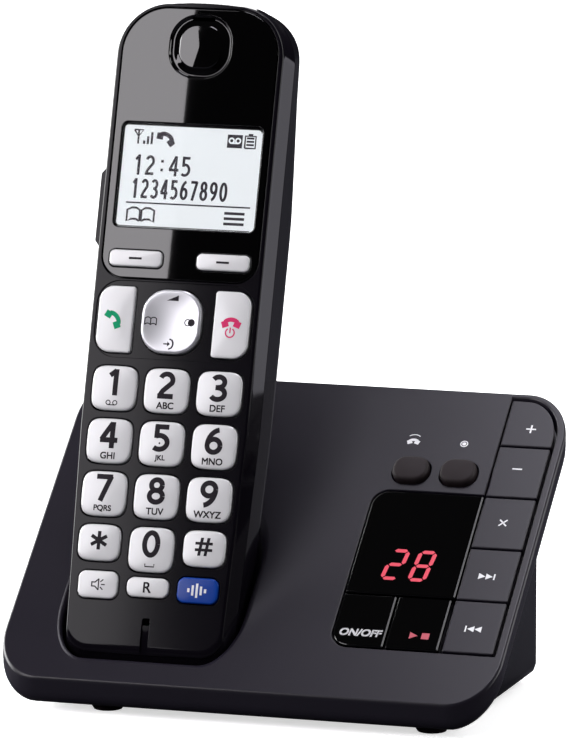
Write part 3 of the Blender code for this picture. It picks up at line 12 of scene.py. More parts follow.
import bmesh
import bpy
import numpy as np
from mathutils import Matrix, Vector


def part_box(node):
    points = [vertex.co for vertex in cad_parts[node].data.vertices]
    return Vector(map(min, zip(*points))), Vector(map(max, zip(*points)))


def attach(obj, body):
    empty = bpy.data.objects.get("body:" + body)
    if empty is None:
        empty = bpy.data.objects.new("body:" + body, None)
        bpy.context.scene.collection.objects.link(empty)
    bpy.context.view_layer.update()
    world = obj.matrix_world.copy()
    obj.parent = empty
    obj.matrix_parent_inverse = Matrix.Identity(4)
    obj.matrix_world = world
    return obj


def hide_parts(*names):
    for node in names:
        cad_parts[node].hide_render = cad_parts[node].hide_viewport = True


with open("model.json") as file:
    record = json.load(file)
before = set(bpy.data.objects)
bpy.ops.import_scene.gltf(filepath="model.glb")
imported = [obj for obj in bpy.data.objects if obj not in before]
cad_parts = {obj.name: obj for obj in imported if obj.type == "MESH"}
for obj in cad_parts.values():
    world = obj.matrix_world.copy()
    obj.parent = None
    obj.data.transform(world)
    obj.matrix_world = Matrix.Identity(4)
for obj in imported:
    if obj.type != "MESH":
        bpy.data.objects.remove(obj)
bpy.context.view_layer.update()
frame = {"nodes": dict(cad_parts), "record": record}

# %% [markdown]
# Two slanted planes
# The keys of the base lie on its slope, and the handset leans back in its own plane. Each plane is
# kept as an origin and three directions: across, up along the plane, and out of it. A shape is drawn
# flat, in across, along and rise, and then laid into its plane by one matrix product. The other way,
# turning finished objects, would leave their places outside their meshes.

# %% The planes of the object
SLOPE_TILT = math.radians(39.6)
HANDSET_LEAN = math.radians(17.9)
BASE_HALF_WIDTH = 0.0655
BASE_HALF_DEPTH = 0.0390
LIP_HEIGHT = 0.0087
HANDSET_FOOT = (-0.0279, -0.0302, 0.0166)
BASE_FACE = (np.array([0, -BASE_HALF_DEPTH, LIP_HEIGHT]),
             np.array([[1, 0, 0],
                       [0, math.cos(SLOPE_TILT), math.sin(SLOPE_TILT)],
                       [0, -math.sin(SLOPE_TILT), math.cos(SLOPE_TILT)]]))
HANDSET = (np.array(HANDSET_FOOT),
           np.array([[1, 0, 0],
                     [0, math.sin(HANDSET_LEAN), math.cos(HANDSET_LEAN)],
                     [0, -math.cos(HANDSET_LEAN), math.sin(HANDSET_LEAN)]]))
DESK = (np.zeros(3), np.eye(3))


def put(points, plane):
    """Place = origin + across * x + along * y + out * rise."""
    return np.asarray(points, dtype=float) @ plane[1] + plane[0]


print("slope", round(math.degrees(SLOPE_TILT), 1), "lean", round(math.degrees(HANDSET_LEAN), 1))

# %% [markdown]
# Rounded outlines
# Nearly every piece of a moulded telephone is a rectangle with rounded corners, seen from the front.
# The outline runs from its low right corner round to its low left one, with equal counts whatever its
# size, so outlines of two sizes can be joined point to point. A corner is a quarter of a circle, or of
# a squarer curve where the key is a cushion.

# %% Outlines as arrays


def rounded(left, right, low, high, corners, steps=10, power=2.0, stretch=1.0):
    """Quarters of |x|^p + |y|^p = r^p at low right, high right, high left and low left, in this order."""
    turn = np.linspace(0, math.pi / 2, steps + 1)
    near = np.sin(turn) ** (2 / power)
    far = np.cos(turn) ** (2 / power)
    radii = np.broadcast_to(np.asarray(corners, dtype=float), (4,))
    tall = radii * stretch
    arcs = np.array([
        np.stack([right - radii[0] + radii[0] * near, low + tall[0] - tall[0] * far], axis=1),
        np.stack([right - radii[1] + radii[1] * far, high - tall[1] + tall[1] * near], axis=1),
        np.stack([left + radii[2] - radii[2] * near, high - tall[2] + tall[2] * far], axis=1),
        np.stack([left + radii[3] - radii[3] * far, low + tall[3] - tall[3] * near], axis=1)])
    return arcs.reshape(-1, 2)


def centred(width, height, corner, grow=0.0, **more):
    """The same round its own middle, made larger by grow on every side."""
    return rounded(-width / 2 - grow, width / 2 + grow, -height / 2 - grow, height / 2 + grow,
                   np.maximum(np.asarray(corner) + grow, 0.00005), **more)


def grown(sides, corner, grow, **more):
    """A rectangle given by its left, right, low and high side, made larger by grow."""
    left, right, low, high = sides
    return rounded(left - grow, right + grow, low - grow, high + grow, corner + grow, **more)


def cushion(width, height, power, inset=0.0, steps=12):
    """A whole squircle: |x/a|^p + |y/b|^p = 1 with a and b less by the inset."""
    half = width / 2 - inset
    tall = height / 2 - inset
    whole = rounded(-half, half, -tall, tall, half, steps=steps, power=power, stretch=tall / half)
    return whole.reshape(4, steps + 1, 2)[:, :-1].reshape(-1, 2)


print("points round a key", len(cushion(0.012, 0.0114, 4.2)))

# %% [markdown]
# Skins over rings
# A moulded body is a pile of such outlines, each at its own height, joined by rows of quads. The faces
# come from index arithmetic, so a whole body is one array. Each end is closed with a flat face, a pole
# or a strip. The first end looks down and the last one up, so every face points outwards.

# %% Rings into bodies


def level(outline, rise):
    """An outline at one height, or at a height for each point."""
    return np.column_stack([outline, np.broadcast_to(rise, (len(outline),))])


def close(kind, ring, start, extra, upward):
    """Faces and added points that close one end of a skin."""
    count = len(ring)
    index = np.arange(count) + start
    if kind == "pole":
        after = np.roll(index, -1)
        middle = np.full(count, extra)
        fan = [middle, index, after] if upward else [middle, after, index]
        return np.stack(fan, axis=1).tolist(), [ring.mean(axis=0)]
    if kind == "strip":
        here = index[:count // 2 - 1]
        after = index[1:count // 2]
        across = index[::-1]
        rows = np.stack([here, after, across[1:count // 2], across[:count // 2 - 1]], axis=1)
        return (rows if upward else rows[:, ::-1]).tolist(), []
    return [(index if upward else index[::-1]).tolist()], []


def skin(rings, low="flat", high="flat"):
    """Quad (k, j) joins points j and j + 1 of ring k to those of ring k + 1."""
    rings = np.asarray(rings, dtype=float)
    count, around = rings.shape[:2]
    row = np.arange(count - 1)[:, None] * around
    here = np.arange(around)[None, :]
    after = (here + 1) % around
    quads = np.stack([row + here, row + after, row + around + after, row + around + here], axis=-1)
    points = list(rings.reshape(-1, 3))
    faces = quads.reshape(-1, 4).tolist()
    added, poles = close(low, rings[0], 0, len(points), False)
    points += poles
    faces += added
    added, poles = close(high, rings[-1], (count - 1) * around, len(points), True)
    return np.array(points + poles), faces + added


def body(name, points, faces, finish=None, sharp=32):
    """Puts arrays into a mesh at the origin, smooth but for edges sharper than an angle."""
    mesh = bpy.data.meshes.new(name)
    mesh.from_pydata(np.asarray(points).tolist(), [], faces)
    mesh.shade_smooth()
    mesh.set_sharp_from_angle(angle=math.radians(sharp))
    if finish is not None:
        mesh.materials.append(finish)
    made = bpy.data.objects.new(name, mesh)
    bpy.context.collection.objects.link(made)
    return made


def pile(levels, plane, middle=(0, 0, 0), low="flat", high="flat"):
    """A skin over (outline, rise) pairs, moved to its middle and laid into a plane."""
    rings = np.array([level(outline, rise) for outline, rise in levels]) + np.asarray(middle, dtype=float)
    return skin(put(rings, plane), low, high)


def rounding(radius, top, steps=6):
    """Pairs of inset and rise on a quarter circle that turns a side wall into a flat top."""
    angle = np.linspace(0, math.pi / 2, steps + 1)
    return list(zip((radius * (1 - np.cos(angle))).tolist(), (top - radius * (1 - np.sin(angle))).tolist()))


print("rounding of 0.4 mm", [tuple(round(c * 1000, 3) for c in pair) for pair in rounding(0.0004, 0, 2)])

# %% [markdown]
# Cutting and joining
# Openings are cut with closed bodies, because a Boolean gives a clean edge in a curved shell. The
# cutter flares towards the surface, so the cut itself leaves a small rounded rim that catches light.
# The result is kept as the piece's own mesh and the cutters are removed. Large flat faces then set the
# normals of the vertices that they share with small ones, so the flats stay flat.

# %% Boolean tools
OVERRUN = 0.004


def measured(made):
    """Volume in cubic millimetres, and how many edges are left open."""
    sheet = bmesh.new()
    sheet.from_mesh(made.data)
    volume = sheet.calc_volume(signed=True) * 1e9
    loose = len([edge for edge in sheet.edges if len(edge.link_faces) != 2])
    sheet.free()
    return round(volume, 2), loose


def carve(target, operation, tools):
    """Unites or subtracts closed bodies one after the other and keeps the result."""
    print(target.name, measured(target), operation, [(tool.name, *measured(tool)) for tool in tools])
    for tool in tools:
        step = target.modifiers.new(tool.name, "BOOLEAN")
        step.operation = operation
        step.solver = "EXACT"
        step.object = tool
    keep_result(target)
    for tool in tools:
        mesh = tool.data
        bpy.data.objects.remove(tool)
        bpy.data.meshes.remove(mesh)


def keep_result(target, weighted=False):
    """Takes the evaluated mesh as the object's own, without doubled points and slivers."""
    graph = bpy.context.evaluated_depsgraph_get()
    solid = bpy.data.meshes.new_from_object(target.evaluated_get(graph), depsgraph=graph)
    if not weighted:
        sheet = bmesh.new()
        sheet.from_mesh(solid)
        bmesh.ops.remove_doubles(sheet, verts=sheet.verts, dist=0.0000004)
        bmesh.ops.dissolve_degenerate(sheet, dist=0.0000002, edges=sheet.edges)
        sheet.to_mesh(solid)
        sheet.free()
    old = target.data
    target.modifiers.clear()
    target.data = solid
    bpy.data.meshes.remove(old)
    solid.name = target.name


def settle(target, sharp=32):
    """Marks sharp edges and lets large faces set the normals."""
    target.data.shade_smooth()
    target.data.set_sharp_from_angle(angle=math.radians(sharp))
    weigh = target.modifiers.new("flats_first", "WEIGHTED_NORMAL")
    weigh.keep_sharp = True
    weigh.weight = 90
    keep_result(target, True)


def flare(rim):
    """Grow and rise of a rim that rounds outwards and passes the surface at a slant."""
    angle = np.radians([0, 20, 40, 60, 76])
    pairs = list(zip((rim * (1 - np.cos(angle))).tolist(), (-rim * (1 - np.sin(angle))).tolist()))
    return pairs + [(rim * 1.1, rim * 0.06), (rim * 1.1, OVERRUN)]


def pit(name, outline, floor, plane, middle=(0, 0, 0), rim=0.0, surface=0.0):
    """A cutter from a floor to above a surface; outline(grow) gives its section, and its rim flares."""
    levels = [(outline(0), floor)]
    if rim:
        levels += [(outline(grow), surface + rise) for grow, rise in flare(rim)]
    else:
        levels.append((outline(0), surface + OVERRUN))
    return body(name, *pile(levels, plane, middle))


# %% [markdown]
# Shared effects of the finishes
# Moulded plastic is never one even colour. Its tool leaves a fine grain, handling leaves soft patches
# that shine a little more or less, and the colour drifts slightly. These three effects are built once
# as node groups, and each material places them with its own scale and strength.

# %% Node groups for grain, handling and drift


def node_group(name, inputs, outputs):
    """An empty group with named number or colour sockets."""
    group = bpy.data.node_groups.new(name, "ShaderNodeTree")
    for label, kind, value in inputs:
        socket = group.interface.new_socket(label, in_out="INPUT", socket_type=kind)
        socket.default_value = value
    for label, kind in outputs:
        group.interface.new_socket(label, in_out="OUTPUT", socket_type=kind)
    return group, group.nodes.new("NodeGroupInput"), group.nodes.new("NodeGroupOutput")


def noise(tree, vector, scale, detail=2.0, rough=0.5):
    """A noise texture on a vector socket; its scale is a number or a socket."""
    made = tree.nodes.new("ShaderNodeTexNoise")
    made.inputs["Detail"].default_value = detail
    made.inputs["Roughness"].default_value = rough
    tree.links.new(vector, made.inputs["Vector"])
    if isinstance(scale, (int, float)):
        made.inputs["Scale"].default_value = scale
    else:
        tree.links.new(scale, made.inputs["Scale"])
    return made.outputs["Fac"]


def compute(tree, kind, first, second, third=None):
    """A Math node on sockets or numbers."""
    made = tree.nodes.new("ShaderNodeMath")
    made.operation = kind
    for index, value in enumerate((first, second, third)):
        if value is None:
            continue
        if isinstance(value, (int, float)):
            made.inputs[index].default_value = value
        else:
            tree.links.new(value, made.inputs[index])
    return made.outputs[0]


VECTOR = "NodeSocketVector"
FLOAT = "NodeSocketFloat"
COLOUR = "NodeSocketColor"

grain_group, entry, leave = node_group(
    "moulded_grain", [("Vector", VECTOR, (0, 0, 0)), ("Scale", FLOAT, 3000.0)], [("Height", FLOAT)])
coarse = noise(grain_group, entry.outputs["Vector"], entry.outputs["Scale"], 3.0, 0.6)
finer = noise(grain_group, entry.outputs["Vector"],
              compute(grain_group, "MULTIPLY", entry.outputs["Scale"], 3.1), 1.0)
grain_group.links.new(compute(grain_group, "MULTIPLY_ADD", finer, 0.4, coarse), leave.inputs["Height"])

handled_group, entry, leave = node_group(
    "handled_sheen",
    [("Vector", VECTOR, (0, 0, 0)), ("Roughness", FLOAT, 0.4), ("Spread", FLOAT, 0.1)],
    [("Roughness", FLOAT)])
patches = noise(handled_group, entry.outputs["Vector"], 55.0, 3.0, 0.6)
specks = noise(handled_group, entry.outputs["Vector"], 2600.0, 1.0)
mixed = compute(handled_group, "MULTIPLY_ADD", specks, 0.35,
                compute(handled_group, "SUBTRACT", patches, 0.67))
drift = compute(handled_group, "MULTIPLY", mixed, entry.outputs["Spread"])
total = compute(handled_group, "ADD", drift, entry.outputs["Roughness"])
handled_group.links.new(total, leave.inputs["Roughness"])

drift_group, entry, leave = node_group(
    "colour_drift",
    [("Vector", VECTOR, (0, 0, 0)), ("Colour", COLOUR, (1, 1, 1, 1)), ("Second", COLOUR, (1, 1, 1, 1)),
     ("Scale", FLOAT, 40.0)],
    [("Colour", COLOUR)])
cloud = noise(drift_group, entry.outputs["Vector"], entry.outputs["Scale"], 4.0, 0.55)
blend = drift_group.nodes.new("ShaderNodeMix")
blend.data_type = "RGBA"
drift_group.links.new(cloud, blend.inputs["Factor"])
drift_group.links.new(entry.outputs["Colour"], blend.inputs["A"])
drift_group.links.new(entry.outputs["Second"], blend.inputs["B"])
drift_group.links.new(blend.outputs["Result"], leave.inputs["Colour"])
print("node groups", [g.name for g in bpy.data.node_groups])

# %% [markdown]
# Finishes
# Each finish is a Principled shader fed by the three groups. Satin plastic is rough with a fine grain,
# the gloss pieces are nearly mirrors with hardly any, and the silver keys are painted, so they carry a
# clear coat over a faint metallic flake.

# %% One maker for the plain finishes


def shared(tree, group, where, **inputs):
    """One of the three groups at work in a material; its result is its only output."""
    made = tree.nodes.new("ShaderNodeGroup")
    made.node_tree = group
    for label, value in inputs.items():
        made.inputs[label].default_value = value
    tree.links.new(where, made.inputs["Vector"])
    return made.outputs[0]


def finish(name, colour, second, roughness, spread, scale, depth, **sockets):
    """Principled shader: drifting colour, handled roughness and a grain of a given depth in metres."""
    material = bpy.data.materials.new(name)
    material.use_nodes = True
    tree = material.node_tree
    shader = tree.nodes["Principled BSDF"]
    where = tree.nodes.new("ShaderNodeTexCoord").outputs["Object"]
    tint = shared(tree, drift_group, where, Colour=(*colour, 1), Second=(*second, 1))
    tree.links.new(tint, shader.inputs["Base Color"])
    wear = shared(tree, handled_group, where, Roughness=roughness, Spread=spread)
    tree.links.new(wear, shader.inputs["Roughness"])
    bump = tree.nodes.new("ShaderNodeBump")
    bump.inputs["Strength"].default_value = 1.0
    bump.inputs["Distance"].default_value = depth
    tree.links.new(shared(tree, grain_group, where, Scale=scale), bump.inputs["Height"])
    tree.links.new(bump.outputs["Normal"], shader.inputs["Normal"])
    for label, value in sockets.items():
        shader.inputs[label.replace("_", " ").title().replace("Ior", "IOR")].default_value = value
    return material


charcoal_satin = finish("charcoal_satin", (0.0090, 0.0074, 0.0125), (0.0115, 0.0096, 0.0160), 0.30, 0.06,
                        5200, 0.0000010, specular_ior_level=0.35)
black_satin = finish("black_satin", (0.0032, 0.0026, 0.0044), (0.0046, 0.0038, 0.0060), 0.085, 0.015, 4200,
                     0.0000001, specular_ior_level=0.14)
piano_black = finish("piano_black", (0.0004, 0.0004, 0.0005), (0.0007, 0.0006, 0.0008), 0.014, 0.006, 900,
                     0.00000002, coat_weight=0.25, coat_roughness=0.0)
key_silver = finish("key_silver", (0.62, 0.62, 0.63), (0.67, 0.67, 0.68), 0.32, 0.06, 6500, 0.0000004,
                    metallic=0.08, coat_weight=0.6, coat_roughness=0.09)
navigator_silver = finish("navigator_silver", (0.54, 0.54, 0.57), (0.62, 0.62, 0.65), 0.30, 0.08, 7000,
                          0.0000002, metallic=0.45, coat_weight=0.1, coat_roughness=0.22)
key_blue = finish("key_blue", (0.001, 0.036, 0.26), (0.002, 0.046, 0.32), 0.26, 0.05, 3000, 0.000001,
                  coat_weight=0.06, coat_roughness=0.10, specular_ior_level=0.22)
black_rubber = finish("black_rubber", (0.0125, 0.0078, 0.0090), (0.0175, 0.0115, 0.0130), 0.60, 0.12, 3600,
                      0.000012, specular_ior_level=0.22)
component_black = finish("component_black", (0.016, 0.016, 0.018), (0.022, 0.022, 0.024), 0.50, 0.15, 2500,
                         0.000008)
contact_nickel = finish("contact_nickel", (0.70, 0.66, 0.58), (0.62, 0.58, 0.50), 0.22, 0.16, 1800,
                        0.000003, metallic=1.0)
cell_wrap = finish("cell_wrap", (0.045, 0.170, 0.090), (0.060, 0.200, 0.105), 0.24, 0.06, 900, 0.000002,
                   coat_weight=0.5)
ink_dark = finish("ink_dark", (0.012, 0.009, 0.013), (0.017, 0.013, 0.018), 0.50, 0.05, 5000, 0.000001,
                  specular_ior_level=0.12)
ink_pale = finish("ink_pale", (0.74, 0.74, 0.76), (0.80, 0.80, 0.82), 0.45, 0.05, 5000, 0.000001)
ink_green = finish("ink_green", (0.002, 0.30, 0.125), (0.004, 0.34, 0.15), 0.50, 0.05, 5000, 0.000001,
                   specular_ior_level=0.12)
ink_red = finish("ink_red", (0.66, 0.028, 0.135), (0.72, 0.038, 0.155), 0.50, 0.05, 5000, 0.000001,
                 specular_ior_level=0.12)
print("finishes", len(bpy.data.materials))

# %% [markdown]
# Glowing and clear finishes
# The message counter is a red light-emitting display behind a smoked window, and the handset's display
# is a pale liquid crystal panel lit from behind, under a clear lens. The light is an emission, so both
# read the same in any room light. The lens has a coating against glare, so its index is set low.

# %% Light, panel and lens


def glowing(name, colour, strength, base, roughness):
    """A finish that sends out its own light, drifting by a few per cent over its surface."""
    material = finish(name, base, base, roughness, 0.02, 900, 0.0000001)
    tree = material.node_tree
    shader = tree.nodes["Principled BSDF"]
    where = tree.nodes.new("ShaderNodeTexCoord").outputs["Object"]
    glow = shared(tree, drift_group, where, Colour=(*colour, 1), Second=(*[c * 0.94 for c in colour], 1))
    tree.links.new(glow, shader.inputs["Emission Color"])
    shader.inputs["Emission Strength"].default_value = strength
    return material


led_red = glowing("led_red", (0.86, 0.085, 0.130), 0.90, (0.10, 0.01, 0.02), 0.2)
# The play sign is printed, yet it glows: its emission is painted light that keeps it bright red in any room
# light.
red_sign_painted_glow = glowing("red_sign_painted_glow", (0.80, 0.12, 0.17), 0.55, (0.10, 0.01, 0.02), 0.3)
lcd_panel = glowing("lcd_panel", (0.88, 0.92, 0.94), 0.86, (0.10, 0.10, 0.105), 0.4)
lcd_ink = glowing("lcd_ink", (0.055, 0.020, 0.075), 0.05, (0.006, 0.003, 0.010), 0.5)

lens_clear = finish("lens_clear", (0.97, 0.98, 0.99), (0.99, 0.99, 1.0), 0.015, 0.01, 700, 0.00000005,
                    transmission_weight=1.0, ior=1.10)
print("glowing and clear", [m.name for m in (led_red, red_sign_painted_glow, lcd_panel, lcd_ink, lens_clear)])

# %% [markdown]
# Top cover of the base
# The lid of the base is one moulding: a sloped face, a skirt that tucks in over the dark cabinet, the
# cup that takes the handset's foot, and two shallow trays for the keys. The skirt follows the slope,
# so each ring of the outline is dropped straight down from the face by one amount. The cup follows the
# handset's section along its lean and is cut by the slope.

# %% The face's height and the base's outline
RISE = math.tan(SLOPE_TILT)
SLANT = 1 / math.cos(SLOPE_TILT)
BASE_CORNER = 0.0120
COVER_WALL = 0.0027
SKIRT_DROP = 0.0085
SKIRT_FALL = 0.0047
BELLY_RISE = 0.0030
SKIRT_TUCK = 0.0021
SKIRT_LOWEST = 0.0021


def face_height(y):
    """Height of the slope over the desk at a depth y."""
    return LIP_HEIGHT + (y + BASE_HALF_DEPTH) * RISE


def base_outline(side_inset, end_inset):
    """The base from above, with its sides and its two ends moved inwards."""
    return rounded(-BASE_HALF_WIDTH + side_inset, BASE_HALF_WIDTH - side_inset,
                   -BASE_HALF_DEPTH + end_inset, BASE_HALF_DEPTH - end_inset,
                   BASE_CORNER - (side_inset + end_inset) / 2, steps=18)


def under_face(outline, drop, lowest=0.0):
    """z = the slope's height less the drop, and never lower than a floor."""
    return level(outline, np.maximum(face_height(outline[:, 1]) - drop, lowest))


def cover_shell():
    """From under the roof down inside the skirt, out over its foot, up the belly and over the edge."""
    inside = base_outline(COVER_WALL, COVER_WALL)
    rings = [under_face(inside, COVER_WALL / math.cos(SLOPE_TILT)),
             under_face(inside, SKIRT_DROP, SKIRT_LOWEST),
             under_face(base_outline(SKIRT_TUCK, SKIRT_TUCK), SKIRT_DROP, SKIRT_LOWEST)]
    for s in np.linspace(0, 1, 7)[1:].tolist():
        inset = SKIRT_TUCK * (1 - s) ** 2
        rings.append(under_face(base_outline(inset, inset), SKIRT_DROP - SKIRT_FALL * s,
                                SKIRT_LOWEST + BELLY_RISE * s * s))
    for inset, rise in rounding(0.0009, 0, 7):
        rings.append(under_face(base_outline(inset, inset * 0.3), -rise))
    return skin(np.array(rings))


# %% The pocket for the handset's foot


def pocket_section(grow):
    """Section across the handset: x, and depth behind its face."""
    return rounded(-0.0235 - grow, 0.0235 + grow, -0.0011 - grow, 0.0250 + grow,
                   np.array([0.0085, 0.0092, 0.0092, 0.0085]) + grow, steps=14)


def pocket_on_slope(grow, drop):
    """The section's lines run along the lean and end on the slope lowered by a drop."""
    u, depth = pocket_section(grow).T
    lean_sin, lean_cos = math.sin(HANDSET_LEAN), math.cos(HANDSET_LEAN)
    start_y = HANDSET_FOOT[1] + depth * lean_cos
    start_z = HANDSET_FOOT[2] - depth * lean_sin
    v = (face_height(start_y) - drop - start_z) / (lean_cos - lean_sin * RISE)
    y = start_y + v * lean_sin
    return np.column_stack([u + HANDSET_FOOT[0], y, face_height(y) - drop])


def pocket_at_height(grow, z):
    """The same lines cut by a level plane."""
    u, depth = pocket_section(grow).T
    v = (z - HANDSET_FOOT[2] + depth * math.sin(HANDSET_LEAN)) / math.cos(HANDSET_LEAN)
    y = HANDSET_FOOT[1] + depth * math.cos(HANDSET_LEAN) + v * math.sin(HANDSET_LEAN)
    return np.column_stack([u + HANDSET_FOOT[0], y, np.full(len(u), z)])


POCKET_FLOOR = 0.0098515
CUP_WALL = 0.0016
MOUTH_RIM = 0.0019
cup = body("cup", *skin([pocket_at_height(CUP_WALL, POCKET_FLOOR - CUP_WALL),
                         pocket_on_slope(CUP_WALL, COVER_WALL / math.cos(SLOPE_TILT) / 2)]))
mouth_rings = [pocket_at_height(0, POCKET_FLOOR)]
for grow, rise in flare(MOUTH_RIM):
    mouth_rings.append(pocket_on_slope(grow, -rise))
mouth = body("mouth", *skin(mouth_rings))
print("pocket rings", len(mouth_rings))

# %% [markdown]
# Trays and openings of the slope
# The right column of keys fills a slot whose back follows the upright rear edge of the base, so its
# last side is worked out from that edge. The block to its left holds two keys and the window.

# %% Key places on the slope
KEY_ROW = 0.0168
BLOCK_FRONT = 0.0165
BLOCK_CORNER = 0.0050
SEAM = 0.0004
COLUMN_KEY_X = 0.05565
COLUMN_STEM_X = 0.05165
BLOCK_KEY_X = (0.02685, 0.04115)
BLOCK_KEY_S = 0.0249
LOCATOR_X = (0.0279, 0.0404)
LOCATOR_S = 0.0737
LOCATOR_SIZE = (0.0094, 0.0079, 0.0034)
REAR_RIM = 0.0010
HOLE_FLOOR = -0.0054
HOLE_SURFACE = -0.0058
SLOT_FRONT = 0.0161
COLUMN_SLOT = (0.0486, 0.0631)
COLUMN_CORNER = 0.0102
TRAY_FRONT = 0.0149
TRAY_FLOOR = -0.0042
TRAY_TOP = -0.00135


def back_reach(rise):
    """Distance up the slope of the rim behind the column, at a height over the face."""
    return (2 * BASE_HALF_DEPTH - REAR_RIM + rise * math.sin(SLOPE_TILT)) / math.cos(SLOPE_TILT)


def column_outline(rise, left, right, front, shift, corner):
    """A slot of the column at a height; its back follows the rim, moved by a shift."""
    return rounded(left, right, front, back_reach(rise) + shift, [SEAM, corner, SEAM, SEAM], steps=12,
                   stretch=SLANT)


tray = body("tray", *pile([(column_outline(r, 0.0478, 0.0643, TRAY_FRONT, 0.0006, 0.0110), r)
                           for r in (TRAY_FLOOR, TRAY_TOP)], BASE_FACE))
block_tray = body("block_tray", *pile([(rounded(0.0184, 0.0490, TRAY_FRONT, 0.0685, BLOCK_CORNER), r)
                                       for r in (TRAY_FLOOR, TRAY_TOP)], BASE_FACE))
column_levels = [(column_outline(-0.0030, *COLUMN_SLOT, SLOT_FRONT, 0, COLUMN_CORNER), -0.0030)]
for grow, rise in flare(0.0003):
    column_levels.append((column_outline(rise, COLUMN_SLOT[0] - grow, COLUMN_SLOT[1] + grow,
                                         SLOT_FRONT - grow, grow, COLUMN_CORNER + grow), rise))
column_pit = body("column_pit", *pile(column_levels, BASE_FACE))


def block_outline(grow):
    """The slot of the block; its right side reaches into the column's slot."""
    return rounded(0.0196 - grow, 0.0490, SLOT_FRONT - grow, 0.0673 + grow,
                   [SEAM, SEAM, BLOCK_CORNER + grow, BLOCK_CORNER + grow])


block_pit = pit("block_pit", block_outline, -0.0031, BASE_FACE, rim=0.0003)
locator_pits = [pit("locator_pit", lambda grow: centred(*LOCATOR_SIZE, 0.0003 + grow), -0.007,
                    BASE_FACE, (x, LOCATOR_S, 0), rim=0.0003) for x in LOCATOR_X]
stem_pits = [pit("stem_pit", lambda grow: centred(0.0024, 0.0024, 0.0003, 0.0003), HOLE_FLOOR, BASE_FACE,
                 (x, s, 0), surface=HOLE_SURFACE)
             for x, s in [(COLUMN_STEM_X, BLOCK_FRONT + KEY_ROW * (row + 0.5)) for row in range(5)]
             + [(x, BLOCK_KEY_S) for x in BLOCK_KEY_X]]
led_pit = pit("led_pit", lambda grow: centred(0.0165, 0.0140, 0.0004, 0.0003), HOLE_FLOOR, BASE_FACE,
              (0.0346, 0.0503, 0), surface=HOLE_SURFACE)
contact_pits = []
for node in ("cradle_contact_left", "cradle_contact_right"):
    low, high = (np.array(c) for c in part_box(node))
    middle = (low + high) / 2
    width, length = (high - low)[:2] - 0.0016
    contact_pits.append(pit("contact_pit", lambda grow: centred(width, length, 0.0003, 0.0004),
                            POCKET_FLOOR - 0.0030, DESK, (middle[0], middle[1], 0),
                            surface=POCKET_FLOOR - 0.003))

base_cover = body("base_cover", *cover_shell(), charcoal_satin)
carve(base_cover, "UNION", [cup, tray, block_tray])
carve(base_cover, "DIFFERENCE", [mouth, column_pit, block_pit, led_pit] + locator_pits + stem_pits
      + contact_pits)
settle(base_cover)
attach(base_cover, "base")
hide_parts("top_cover")

# %% [markdown]
# Flush keys of the base
# The keys lie flush in the slope, with a rounded edge of less than half a millimetre that draws a thin
# light line. Each stands on a square plunger over the key board, so key and plunger are one skin whose
# first rings are the plunger's.

# %% Skins of the flush keys
slot_of = {row["node"]: row["material_slot"] for row in frame["record"]["subparts"]}
FINISHES = {"charcoal_satin": charcoal_satin, "black_satin": black_satin, "piano_black": piano_black,
            "key_white": key_silver, "navigator_silver": navigator_silver, "key_blue": key_blue,
            "black_rubber": black_rubber, "component_black": component_black,
            "contact_nickel": contact_nickel, "cell_wrap": cell_wrap}
KEY_EDGE = 0.0004
COLUMN_KEY_HALF = 0.00665
COLUMN_KEY_CORNER = 0.0094
RIM_GAP = 0.0008
BLOCK_KEY_HALF = (0.00685, 0.0082)
PLUNGER_HALF = 0.0012
PLUNGER_END = -0.0039
CAP_BACK = -0.0023


def kept(radius, inset):
    """A corner's radius less an inset, and never quite zero."""
    return max(radius - inset, 0.00002)


def stands_for(made, node, body_name):
    """Hangs a piece on a body in place of a node, and hides the node."""
    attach(made, body_name)
    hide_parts(node)


def flush_key(node, outline, middle, stem_shift):
    """outline(inset, rise) round the key's middle; plunger rings first, then the cap and its edge."""
    count = len(outline(0, 0)) // 4 - 1
    stem = rounded(stem_shift - PLUNGER_HALF, stem_shift + PLUNGER_HALF, -PLUNGER_HALF, PLUNGER_HALF,
                   0.0003, steps=count)
    levels = [(stem, PLUNGER_END), (stem, CAP_BACK), (outline(0, CAP_BACK), CAP_BACK)]
    levels += [(outline(inset, rise), rise) for inset, rise in rounding(KEY_EDGE, 0, 6)]
    made = body("cap_" + node, *pile(levels, BASE_FACE, middle), FINISHES[slot_of[node]])
    settle(made)
    stands_for(made, node, node)


def column_key(row):
    """The top key's back follows the upright rim, and its outer corner the base's own corner."""
    middle = BLOCK_FRONT + KEY_ROW * (row + 0.5)

    def outline(inset, rise):
        half = COLUMN_KEY_HALF - inset
        front = -KEY_ROW / 2 + SEAM / 2 + inset
        if row < 4:
            return rounded(-half, half, front, -front, kept(KEY_EDGE, inset), steps=4)
        back = back_reach(rise) - RIM_GAP / math.cos(SLOPE_TILT) - inset - middle
        corner = min(COLUMN_KEY_CORNER - inset, (back - front) * math.cos(SLOPE_TILT) * 0.9)
        small = kept(KEY_EDGE, inset)
        return rounded(-half, half, front, back, [small, corner, small, small], steps=14, stretch=SLANT)

    return outline, (COLUMN_KEY_X, middle, 0)


for row, node in enumerate(("skip_back_key", "skip_forward_key", "erase_key", "volume_down_key",
                            "volume_up_key")):
    outline, middle = column_key(row)
    flush_key(node, outline, middle, -0.0040)


def block_key(low_left):
    """A key of the block; only its low left corner may be a large one."""
    half, tall = BLOCK_KEY_HALF

    def outline(inset, rise):
        small = kept(KEY_EDGE, inset)
        return rounded(-half + inset, half - inset, -tall + inset, tall - inset,
                       [small, small, small, kept(low_left, inset)], steps=12)

    return outline


WINDOW_CORNER = 0.0046
flush_key("answer_key", block_key(WINDOW_CORNER), (BLOCK_KEY_X[0], BLOCK_KEY_S, 0), 0)
flush_key("play_key", block_key(KEY_EDGE), (BLOCK_KEY_X[1], BLOCK_KEY_S, 0), 0)

# %% Window of the message counter


